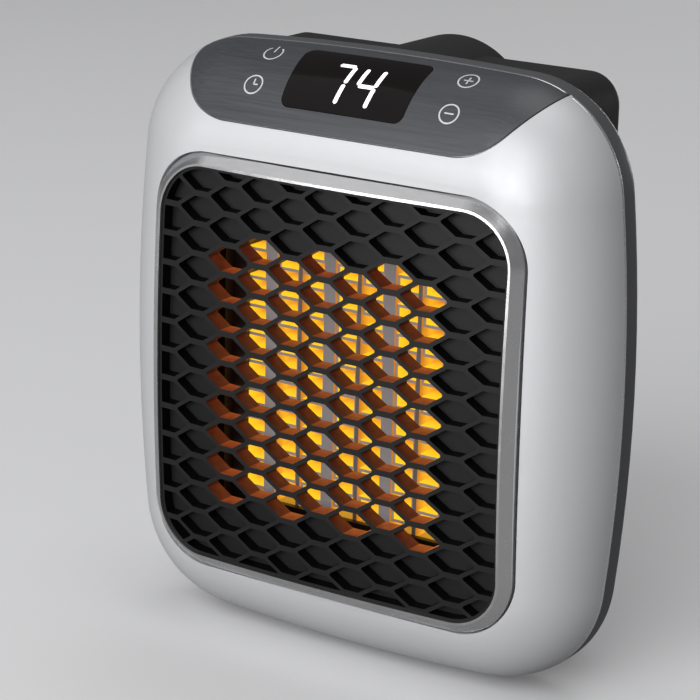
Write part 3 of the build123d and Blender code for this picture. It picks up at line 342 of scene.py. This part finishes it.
def metal(name, colour, roughness=0.35, brush=(1, 1, 12), height=0.004, stain=0.15):
    """Sheet or turned metal with fine lines that run across the `brush` stretch."""
    made = Finish(name, metallic=1.0)
    place = made.place()
    lines = made.noise(made.stretch(place, brush), LINE_SCALE, detail=4)
    cloud = made.noise(place, STAIN_SCALE)
    made.set("Base Color", made.mix(cloud, shade(colour, 1 - stain), colour))
    made.set("Roughness", lines * LINE_SWING + (roughness - LINE_SWING / 2))
    return made.set("Normal", made.bump(lines, LINE_STRENGTH, height))


def dress(finish, *nodes):
    """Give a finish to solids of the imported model."""
    for name in nodes:
        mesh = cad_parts[name].data
        for number in range(len(mesh.materials)):
            mesh.materials[number] = finish.material
        if not mesh.materials:
            mesh.materials.append(finish.material)
    print(finish.material.name, "on", ", ".join(nodes))


print("recipes: moulded, metal")

# %% [markdown]
# ## Silver body
# The shell is plastic with a satin silver lacquer. Lacquer of this kind is a pale base
# with metal flakes too small to see one by one: they show as a soft darkening where the
# surface turns away from the light. So the shader is partly metallic, by a fine noise,
# and quite rough, which keeps the highlight wide. The bezel round the grille is brighter
# and smoother, and the rear tray, the band behind the parting line, is coloured a much
# darker grey than the shell.

# %% Silver lacquer, bright trim and grey tray
FLAKE_SCALE = 6.0
FLAKE_METAL = 0.25
BASE_METAL = 0.12

silver = moulded(
    "satin_silver", (0.62, 0.625, 0.64), roughness=0.48, grain=0.3, height=0.002, clouds=0.015)
flakes = silver.noise(silver.place(), FLAKE_SCALE, detail=1)
silver.set("Metallic", flakes * FLAKE_METAL + BASE_METAL)
dress(silver, "front_shell")
trim = metal(
    "bright_trim", (0.78, 0.78, 0.79), roughness=0.24, brush=(0.3, 1, 0.3), height=0.0002,
    stain=0.04)
dress(trim, "bezel_ring")
tray = moulded("tray_grey", (0.085, 0.088, 0.094), roughness=0.45, grain=0.5, height=0.006)
dress(tray, "rear_tray")

# %% [markdown]
# ## Finding a solid's surface
# Some things are laid on the solids' outer faces: the bead at the shell's rear edge, the
# digits and the signs. Their height could be worked out from the solids' measures, but a
# ray that is cast at the real faces finds it on any curve and stays right if they change.


# %% Rays that find the outer surface
BODY_MIDDLE_Z = -56.4
RAY_START = 0.2


def surface_of(*nodes):
    """A tree of the faces of one or more solids, that rays can be cast at."""
    points = []
    faces = []
    for node in nodes:
        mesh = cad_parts[node].data
        first = len(points)
        points += [vertex.co[:] for vertex in mesh.vertices]
        faces += [[first + corner for corner in face.vertices] for face in mesh.polygons]
    return BVHTree.FromPolygons(points, faces)


def lifted(tree, start, way, lift):
    """Where a ray along `way` meets the surface, moved `lift` metres off it."""
    hit, normal, _, _ = tree.ray_cast(start, way)
    if normal.dot(way) > 0:
        normal = -normal
    return hit + normal * lift


def inward(tree, angle, y, lift):
    """The outer surface's point at an angle round the body, y and lift in millimetres."""
    aim = Vector((math.cos(angle), 0, math.sin(angle)))
    start = Vector((0, y * MM, BODY_MIDDLE_Z * MM)) + aim * RAY_START
    return lifted(tree, start, -aim, lift * MM)


body_tree = surface_of("front_shell", "control_panel")
print("body reaches", round(inward(body_tree, 0, -45, 0).x / MM, 1), "mm to the right")

# %% [markdown]
# ## Bright edge at the parting line
# Where the shell meets the tray, the photograph shows a thin bright line that runs round
# the upper corner and along the back of the touch panel: the shell's rolled edge. It is
# half a millimetre wide, too fine for the solid model, so it is made here. Rays that run
# inwards from all round find the outer surface just in front of the parting plane, and
# four rows of such points make a low bead. A painted line would not catch the light.

# %% A low bead round the shell's rear edge
BEAD_ROWS = ((-39.25, -0.02), (-39.1, 0.05), (-38.6, 0.05), (-38.45, -0.02))
BEAD_STEPS = 720

bead = bmesh.new()
rings = []
for y, lift in BEAD_ROWS:
    angles = [math.tau * step / BEAD_STEPS for step in range(BEAD_STEPS)]
    rings.append([bead.verts.new(inward(body_tree, angle, y, lift)) for angle in angles])
for near, far in zip(rings, rings[1:]):
    for step in range(BEAD_STEPS):
        after = (step + 1) % BEAD_STEPS
        bead.faces.new((near[step], near[after], far[after], far[step])).smooth = True
bmesh.ops.recalc_face_normals(bead, faces=bead.faces)
bead_mesh = bpy.data.meshes.new("parting_edge")
bead.to_mesh(bead_mesh)
bead.free()
parting_edge = bpy.data.objects.new("parting_edge", bead_mesh)
bpy.context.collection.objects.link(parting_edge)
edge_metal = metal(
    "rolled_edge", (0.86, 0.86, 0.88), roughness=0.25, brush=(0.5, 3, 0.5), height=0.0003,
    stain=0.05)
bead_mesh.materials.append(edge_metal.material)
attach(parting_edge, "heater")
print("bead with", len(bead_mesh.polygons), "faces")

# %% [markdown]
# ## Touch panel
# The panel is a formed sheet printed in dark slate with fine brushed lines across it.
# Lines need no picture: noise that is squeezed along the height and drawn out along the
# width gives them. The same noise moves the colour, the roughness and the bump, as real
# brushing does. The window in its middle is a dark tinted lens, polished, with a faint
# brown in it. It reflects little, so that the digits stand out.

# %% Brushed slate
BRUSH_STRETCH = (0.012, 2.2, 2.2)

slate = Finish("slate_panel")
slate.set("Specular IOR Level", 0.8)
brushed = slate.noise(slate.stretch(slate.place(), BRUSH_STRETCH), 1.4, detail=5, roughness=0.7)
slate.set("Base Color", slate.ramp(brushed, (0.3, (0.026, 0.028, 0.032)), (0.7, (0.056, 0.060, 0.067))))
slate.set("Roughness", brushed * 0.3 + 0.28)
slate.set("Normal", slate.bump(brushed, 0.4, 0.006))
dress(slate, "control_panel")

# %% Dark lens
lens = Finish("window_black")
lens.set("Specular IOR Level", 0.12)
haze = lens.noise(lens.place(), 0.08, detail=4)
lens.set("Base Color", lens.mix(haze, (0.006, 0.005, 0.005), (0.011, 0.009, 0.0085)))
lens.set("Roughness", haze * 0.08 + 0.06)
dress(lens, "display_window")

# %% [markdown]
# ## Grille and its glow
# The grille is black plastic with a satin front. Its sharp cell walls carry painted shade:
# they are coloured near-black, darker than the front. Its middle cells are open, and their
# walls carry a painted glow, an emission that stands in for the light of the core behind
# them: brown on the side that faces right, orange on the side that faces left. The walls
# are found from the surface itself: a point on a wall, moved a little over three
# millimetres along its normal, lands near the middle of its own cell, and the cell's
# column and height say if it is open. That way the painted glow belongs to the piece and
# stays with it from every side.

# %% Which walls glow; the cell pattern in millimetres
CELL_SPACING = 9.92
CELL_ROW = 7.925
CELL_MIDDLE_Z = -61.9
OPEN_COLUMNS = 3
OPEN_HALF_ROWS = 9
INTO_CELL = 3.2
WALL_LIMIT = 0.5

black = Finish("grille_black")
black_place = black.place()
facing = black.normal()
face_x, face_y, face_z = black.parts(facing)
wall = abs(face_y) < WALL_LIMIT
cell_x, _, cell_z = black.parts(black.join(black_place, black.scale(facing, INTO_CELL)))
column = abs((cell_x / CELL_SPACING).maths("ROUND"))
odd = column.maths("MODULO", 2)
half_step = CELL_ROW / 2
rise = (cell_z - CELL_MIDDLE_Z) + odd * half_step
too_high = rise > (OPEN_HALF_ROWS + 1) * half_step
too_low = rise < (1 - OPEN_HALF_ROWS) * half_step
open_cell = (column < OPEN_COLUMNS + 0.5) * (1 - too_high) * (1 - too_low)
glow = wall * open_cell
print("glowing cells lie within", OPEN_COLUMNS, "columns of the middle")

# %% Black front, walls with painted shade and open walls with painted glow
CROWN_Y = -65.0
GLOW_LEVEL = 0.5
GLOW_BY_SIDE = 0.55
GLOW_BY_RISE = 0.08
GLOW_BY_DEPTH = 0.03
GLOW_CLOUDS = 0.25
GLOW_STOPS = (
    (0.0, (0.010, 0.002, 0.001)), (0.3, (0.042, 0.007, 0.003)),
    (0.6, (0.15, 0.025, 0.007)), (1.0, (0.48, 0.11, 0.020)))

front = black.mix(black.noise(black_place, 0.06), (0.010, 0.010, 0.0105), (0.014, 0.014, 0.0145))
# Painted shade: every cell wall, picked by its normal, is coloured near-black, darker than the front.
front_with_shaded_walls = black.mix(wall, front, (0.0015, 0.0015, 0.0015))
# Painted glow: the open cells' walls get a dark brown base here and an orange emission below, which
# stands in for the core's light falling on them.
black.set("Base Color", black.mix(glow, front_with_shaded_walls, (0.018, 0.006, 0.003)))
black.set("Specular IOR Level", 0.2)
grain = black.noise(black_place, 2.5, detail=2)
black.set("Roughness", grain * 0.14 + 0.42)
black.set("Normal", black.bump(grain, 0.5, 0.006))
_, depth_y, _ = black.parts(black_place)
depth = (depth_y - CROWN_Y) * GLOW_BY_DEPTH
clouds = (black.noise(black_place, 0.5) - 0.5) * GLOW_CLOUDS
# The painted glow is brighter on walls that face left, that face up and that lie deeper.
painted_glow_level = (GLOW_LEVEL - face_x * GLOW_BY_SIDE + face_z * GLOW_BY_RISE + depth) + clouds
black.set("Emission Color", black.mix(glow, (0, 0, 0), black.ramp(painted_glow_level, *GLOW_STOPS)))
black.set("Emission Strength", 1.0)
dress(black, "grille")

# %% [markdown]
# ## Core and its painted glow
# The heat comes from flat ceramic strips with folded aluminium fins bonded to them. The
# grey bars seen through the cells are the strips' and fins' front edges, which carry a
# dim painted light: a faint grey emission, where little lamp light reaches. The gaps
# between them carry a painted glow: yellow near the front and orange deeper in. One
# recipe serves all three pieces: faces that look forward emit the faint grey, and every
# other face emits the painted glow by its depth in the core. The glow is part of the
# finish, so no lamp has to be hidden inside the duct.

# %% Front edges with a dim painted light, deep faces with a painted glow
CORE_FRONT = -46.6
CORE_DEPTH = 11.0
CORE_CLOUDS = 0.3
CORE_SIDE = (0.1, 0.05, 0.01)


def painted_glow_piece(name, edge, edge_shine, stops, roughness=0.5):
    """A piece of the core: its front is `edge` with a dim painted light `edge_shine`; its other faces
    carry a painted glow by depth.
    """
    made = Finish(name, roughness=roughness)
    place = made.place()
    _, face_y, _ = made.parts(made.normal())
    _, deep_y, _ = made.parts(place)
    side = abs(face_y) < WALL_LIMIT
    cloud = made.noise(place, 0.35, detail=4)
    deep = (deep_y - CORE_FRONT) / CORE_DEPTH + (cloud - 0.5) * CORE_CLOUDS
    front = made.mix(cloud, shade(edge, 0.85), shade(edge, 1.1))
    made.set("Base Color", made.mix(side, front, CORE_SIDE))
    # Painted light: forward faces emit a faint grey, all other faces a painted glow by depth.
    made.set("Emission Color", made.mix(side, edge_shine, made.ramp(deep, *stops)))
    made.set("Emission Strength", 1.0)
    return made.set("Normal", made.bump(cloud, 0.5, 0.01))


BRIGHT_GLOW_STOPS = (
    (0.0, (0.85, 0.36, 0.010)), (0.12, (1.0, 0.62, 0.02)),
    (0.45, (0.95, 0.50, 0.015)), (0.9, (0.66, 0.16, 0.015)))
DULL_GLOW_STOPS = ((0.0, (0.50, 0.16, 0.015)), (0.4, (0.9, 0.42, 0.02)), (1.0, (0.6, 0.16, 0.02)))
fins = painted_glow_piece("fins_painted_glow", (0.28, 0.25, 0.23), (0.095, 0.080, 0.066), BRIGHT_GLOW_STOPS)
dress(fins, "heater_fins")
strips = painted_glow_piece("strips_painted_glow", (0.22, 0.21, 0.21), (0.080, 0.074, 0.074), DULL_GLOW_STOPS, roughness=0.7)
dress(strips, "heater_strips")
dividers = painted_glow_piece("dividers_painted_glow", (0.12, 0.10, 0.09), (0.035, 0.028, 0.022), DULL_GLOW_STOPS)
dress(dividers, "core_dividers")

# %% [markdown]
# ## Black housing and switch
# The housing behind the body is black plastic with a spark-eroded texture, which hides
# scratches on the side that is pushed against a wall. The turret that carries the blades
# is the same plastic, finer, and the mains switch is glossier, as a bought-in part is.

# %% Textured black
housing = moulded("housing_black", (0.006, 0.006, 0.0065), roughness=0.6, grain=0.7, height=0.03)
dress(housing, "rear_housing")
turret = moulded("turret_black", (0.018, 0.018, 0.019), roughness=0.42, grain=0.4, height=0.012)
dress(turret, "plug_turret")
switch = moulded(
    "switch_black", (0.012, 0.012, 0.013), roughness=0.3, grain=0.5, height=0.003, coat=0.2)
dress(switch, "switch_frame", "switch_rocker")

# %% [markdown]
# ## Blades, contacts and screws
# The blades are brass with a nickel wash that wears through at the tips. Their wear
# follows their length, because that is where they rub, and a noise frays its edge. The
# contacts inside are bare brass, and the screws are zinc-plated steel.

# %% Worn brass, bare brass and zinc
WEAR_START = 9.0
WEAR_LENGTH = 8.0
WEAR_FRAY = 0.9

brass = metal("plated_brass", (0.74, 0.60, 0.36), roughness=0.28, brush=(1, 14, 1), stain=0.08)
blade_place = brass.place()
_, along, _ = brass.parts(blade_place)
fray = (brass.noise(blade_place, 0.7, detail=5) - 0.5) * WEAR_FRAY
worn = ((along - WEAR_START) / WEAR_LENGTH + fray).maths("SMOOTH_MIN", 1, 0.1)
worn = worn.maths("MAXIMUM", 0)
brass.set("Base Color", brass.mix(worn, (0.72, 0.66, 0.56), (0.71, 0.50, 0.20)))
dress(brass, "line_blade", "neutral_blade")
dress(
    metal("contact_brass", (0.73, 0.54, 0.24), roughness=0.3),
    "line_contact", "neutral_contact", "line_wiper", "neutral_wiper", "switch_tabs")
dress(
    metal("zinc_steel", (0.60, 0.61, 0.62), roughness=0.32),
    "body_screws", "housing_screws", "duct_screws", "small_screws")

# %% [markdown]
# ## Working parts inside
# Nobody sees these until the case is open, but a repairer tells them apart by their
# materials: heat-proof brown resin and pale mica round the core, black nylon for the fan
# and its duct, and red fibre for the washer. Each gets the finish of its own stuff at its
# own scale.

# %% Resin, mica, nylon, fibre and steel
resin = moulded(
    "resin_brown", (0.035, 0.024, 0.018), roughness=0.55, grain=0.9, height=0.02, clouds=0.25)
dress(resin, "core_frame")
mica = moulded(
    "mica_sheet", (0.60, 0.55, 0.44), roughness=0.45, grain=1.4, height=0.02, clouds=0.3)
dress(mica, "core_insulators")
nylon = moulded("duct_nylon", (0.03, 0.03, 0.031), roughness=0.5, grain=0.8, height=0.012)
dress(nylon, "fan_duct", "motor_mount", "turret_retainer", "wiper_bridge", "motor_cap")
fan = moulded("fan_nylon", (0.024, 0.024, 0.026), roughness=0.36, grain=0.5, height=0.004)
dress(fan, "fan_impeller")
fibre = moulded(
    "red_fibre", (0.33, 0.045, 0.03), roughness=0.75, grain=0.3, height=0.03, clouds=0.25)
dress(fibre, "friction_washer")
steel = metal("motor_steel", (0.56, 0.57, 0.59), roughness=0.3, brush=(1, 10, 1))
dress(steel, "fan_motor", "motor_shaft", "core_terminals", "touch_springs")

# %% [markdown]
# ## Circuit boards
# A board is glass fibre under green lacquer, with copper tracks that show through as a
# lighter green and tinned pads that shine. The edges between Voronoi cells make a web of
# tracks, and the cells' middles make pads: enough to read as a board at this size.


# %% Lacquered boards
TRACK_WIDTH = 0.07
PAD_SIZE = 0.22


def board_finish(name):
    made = Finish(name, coat_weight=0.3)
    place = made.place()
    web = made.add("TexVoronoi", {"feature": "DISTANCE_TO_EDGE"}, {"Vector": place, "Scale": 0.28})
    track = web < TRACK_WIDTH
    spots = made.add("TexVoronoi", {"feature": "F1"}, {"Vector": place, "Scale": 0.45})
    pads = spots < PAD_SIZE
    green = made.mix(made.noise(place, 0.1), (0.008, 0.085, 0.035), (0.012, 0.115, 0.048))
    tracked = made.mix(track, green, (0.03, 0.20, 0.075))
    made.set("Base Color", made.mix(pads, tracked, (0.62, 0.60, 0.56)))
    made.set("Metallic", pads * 0.9)
    made.set("Roughness", 0.38 - pads * 0.1 + track * 0.05)
    return made.set("Normal", made.bump(track, 0.4, 0.02))


dress(board_finish("board_green"), "control_board", "power_board")

# %% [markdown]
# ## Components and wires
# The parts on the boards and the wires differ mostly in colour, and a repairer reads
# them by it: a blue relay, a yellow film capacitor, green terminals, white nylon plugs,
# and black, white and red wires. So the same recipe serves them all, and the wires need
# no more than a small table.

# %% Components and connectors
component = moulded("part_black", (0.016, 0.016, 0.017), roughness=0.38, grain=0.4, height=0.006)
dress(
    component, "buzzer", "controller_chip", "room_sensor", "display_module", "thermostat",
    "mains_terminals")
relay = moulded("relay_blue", (0.02, 0.10, 0.36), roughness=0.3, grain=0.5, height=0.003, coat=0.2)
dress(relay, "relay")
film = moulded("film_yellow", (0.72, 0.50, 0.05), roughness=0.32, grain=0.5, height=0.004, coat=0.2)
dress(film, "film_capacitor")
sleeve = moulded(
    "sleeve_black", (0.02, 0.021, 0.026), roughness=0.28, grain=0.3, height=0.002, coat=0.3)
dress(sleeve, "electrolytic_capacitor")
green = moulded("terminal_green", (0.03, 0.30, 0.12), roughness=0.4, grain=0.5, height=0.004)
dress(green, "heater_terminals")
white = moulded("nylon_white", (0.74, 0.72, 0.66), roughness=0.42, grain=0.5, height=0.004)
dress(white, "board_plug", "board_sockets", "fuse", "thermal_fuse")

# %% Wires by colour
WIRES = (
    ("wire_black", (0.015, 0.015, 0.016), ("line_wire", "switched_wire")),
    ("wire_white", (0.72, 0.71, 0.68), ("neutral_wire", "signal_wires")),
    ("wire_red", (0.42, 0.022, 0.015), ("heater_wires", "motor_wires")),
)
for name, colour, wires in WIRES:
    dress(moulded(name, colour, roughness=0.38, grain=0.8, height=0.006, clouds=0.1), *wires)

# %% [markdown]
# ## Lit digits and printed signs
# The display's digits shine through the lens, and four small signs mark the touch keys:
# power, timer, plus and minus. Drawing them as a picture would blur up close, so each is
# a ribbon of mesh. Its points are first laid out flat on the window's own plane, tilted
# fifty degrees, and then dropped along that plane's axis onto the curved surface below,
# which a ray finds. A ribbon a few hundredths of a millimetre proud stays clear of it.

# %% The window's own plane
TILT = math.radians(50.0)
PLANE_ORIGIN = Vector((0, -0.03565, -0.0006))
PLANE_X = Vector((1, 0, 0))
PLANE_Y = Vector((0, math.sin(TILT), math.cos(TILT)))
PLANE_OUT = Vector((0, -math.cos(TILT), math.sin(TILT)))
DROP_HEIGHT = 0.06
LIFT = 0.00004


def drop(tree, x, y):
    """The point of the surface under (x, y) of the window's plane, a hair above it."""
    start = PLANE_ORIGIN + PLANE_X * x * MM + PLANE_Y * y * MM + PLANE_OUT * DROP_HEIGHT
    return lifted(tree, start, -PLANE_OUT, LIFT)


print("window plane looks up", round(math.degrees(TILT)), "degrees")


# %% Ribbons
RIBBON_STEP = 0.2
FEWEST_STEPS = 8
TINY = 1e-9
MERGE_DISTANCE = 1e-7


def ribbon(points, width, closed=False):
    """Rows of left and right points along a path, narrowing to a round end at each end."""
    path = [Vector(point) for point in points]
    if closed:
        path.append(path[0])
    lengths = [0.0]
    for one, two in zip(path, path[1:]):
        lengths.append(lengths[-1] + (two - one).length)
    total = lengths[-1]
    radius = width / 2
    count = max(int(total / RIBBON_STEP), FEWEST_STEPS)
    rows = []
    for number in range(count + 1):
        along = total * number / count
        leg = max(i for i in range(len(path) - 1) if lengths[i] <= along + TINY)
        way = (path[leg + 1] - path[leg]).normalized()
        spot = path[leg] + way * (along - lengths[leg])
        end = min(along, total - along)
        rounded = math.sqrt(max(radius**2 - (radius - end)**2, 0))
        half = radius if closed or end > radius else rounded
        side = Vector((-way.y, way.x)) * half
        rows.append((spot + side, spot - side))
    return rows


def lay(name, tree, strokes, finish):
    """One mesh of ribbons, dropped on a surface; it rides with the heater's body."""
    work = bmesh.new()
    for rows in strokes:
        pairs = [[work.verts.new(drop(tree, point.x, point.y)) for point in row] for row in rows]
        for one, two in zip(pairs, pairs[1:]):
            work.faces.new((one[0], one[1], two[1], two[0])).smooth = True
    bmesh.ops.remove_doubles(work, verts=work.verts, dist=MERGE_DISTANCE)
    bmesh.ops.recalc_face_normals(work, faces=work.faces)
    mesh = bpy.data.meshes.new(name)
    work.to_mesh(mesh)
    work.free()
    mesh.materials.append(finish.material)
    thing = bpy.data.objects.new(name, mesh)
    bpy.context.collection.objects.link(thing)
    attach(thing, "heater")
    print(name, "has", len(mesh.polygons), "faces")


print("a stroke has at least", FEWEST_STEPS, "steps")

# %% [markdown]
# ## Digits
# The display shows a temperature with two seven-segment digits, a seven and a four, that
# lean five degrees. Each segment is one ribbon between two corners of a grid, shortened a
# little so that the segments stay apart, and its colour shines a cool white.

# %% Digits of the display, lit
BAR_WIDTH = 1.2
BAR_HALF = 6.0
BAR_GAP = 0.15
DIGIT_HALF = 2.55
LEAN = math.tan(math.radians(5))
DIGIT_SHIFT = 4.5
DIGIT_RISE = -1.3
SEGMENTS = {
    "top": ((-1, 1), (1, 1)),
    "middle": ((-1, 0), (1, 0)),
    "left_upper": ((-1, 0), (-1, 1)),
    "right_upper": ((1, 0), (1, 1)),
    "right_lower": ((1, -1), (1, 0)),
}


def digit(centre_x, centre_y, *names):
    """The strokes of one digit, its grid leaned over."""
    strokes = []
    for name in names:
        ends = []
        for x, y in SEGMENTS[name]:
            lean = y * BAR_HALF * LEAN
            ends.append(Vector((centre_x + x * DIGIT_HALF + lean, centre_y + y * BAR_HALF)))
        gap = (ends[1] - ends[0]).normalized() * BAR_GAP
        strokes.append(ribbon([ends[0] + gap, ends[1] - gap], BAR_WIDTH))
    return strokes


lit = Finish("lit_digits", roughness=0.4)
spark = lit.noise(lit.place(), 1.5)
lit.set("Base Color", (0.8, 0.8, 0.8, 1))
lit.set("Emission Color", lit.mix(spark, (0.80, 0.82, 0.86), (0.95, 0.96, 1.0)))
lit.set("Emission Strength", 1.0)
seven = digit(-DIGIT_SHIFT, DIGIT_RISE, "top", "right_upper", "right_lower")
four = digit(DIGIT_SHIFT, DIGIT_RISE, "left_upper", "middle", "right_upper", "right_lower")
lay("digits", surface_of("display_window"), seven + four, lit)

# %% [markdown]
# ## Key signs
# The signs are thin rings with a few strokes, printed in pale grey on the panel. They are
# laid out from one radius, so that all four match, and a fine noise breaks the ink up a
# little, as a screen print on a brushed sheet has it.


# %% Strokes of the four signs
KEY_LEFT = -28.3
KEY_RIGHT = 30.3
KEY_UPPER = 6.1
KEY_LOWER = -5.0
SIGN_RADIUS = 2.6
LINE = 0.42
CIRCLE_STEPS = 40
FULL_TURN = 360.0
POWER_START = 125
POWER_SWEEP = 290
POWER_FOOT = 0.2
POWER_TOP = SIGN_RADIUS + 0.5
LONG_HAND = SIGN_RADIUS * 0.65
SHORT_HAND = SIGN_RADIUS * 0.55
SIGN_BAR = 1.4


def circle(x, y, start=0.0, sweep=FULL_TURN):
    """Points round a sign; an open arc has one more than a closed ring."""
    count = CIRCLE_STEPS + (sweep < FULL_TURN)
    angles = [math.radians(start + sweep * i / CIRCLE_STEPS) for i in range(count)]
    return [(x + SIGN_RADIUS * math.cos(a), y + SIGN_RADIUS * math.sin(a)) for a in angles]


def whole_ring(x, y):
    return ribbon(circle(x, y), LINE, closed=True)


def level_bar(x, y):
    return ribbon([(x - SIGN_BAR, y), (x + SIGN_BAR, y)], LINE)


power_sign = [
    ribbon(circle(KEY_LEFT, KEY_UPPER, POWER_START, POWER_SWEEP), LINE),
    ribbon([(KEY_LEFT, KEY_UPPER + POWER_FOOT), (KEY_LEFT, KEY_UPPER + POWER_TOP)], LINE)]
hands = [(KEY_LEFT, KEY_LOWER + LONG_HAND), (KEY_LEFT, KEY_LOWER), (KEY_LEFT + SHORT_HAND, KEY_LOWER)]
timer_sign = [whole_ring(KEY_LEFT, KEY_LOWER), ribbon(hands, LINE)]
upright = [(KEY_RIGHT, KEY_UPPER - SIGN_BAR), (KEY_RIGHT, KEY_UPPER + SIGN_BAR)]
plus_sign = [whole_ring(KEY_RIGHT, KEY_UPPER), level_bar(KEY_RIGHT, KEY_UPPER), ribbon(upright, LINE)]
minus_sign = [whole_ring(KEY_RIGHT, KEY_LOWER), level_bar(KEY_RIGHT, KEY_LOWER)]
print("signs are", 2 * SIGN_RADIUS, "mm wide")

# %% Signs laid on the panel
printed = Finish("printed_grey", roughness=0.5)
ink = printed.noise(printed.place(), 1.2, detail=4)
printed.set("Base Color", printed.mix(ink, (0.50, 0.52, 0.55), (0.66, 0.68, 0.70)))
panel_tree = surface_of("control_panel")
lay("power_sign", panel_tree, power_sign, printed)
lay("timer_sign", panel_tree, timer_sign, printed)
lay("plus_sign", panel_tree, plus_sign, printed)
lay("minus_sign", panel_tree, minus_sign, printed)
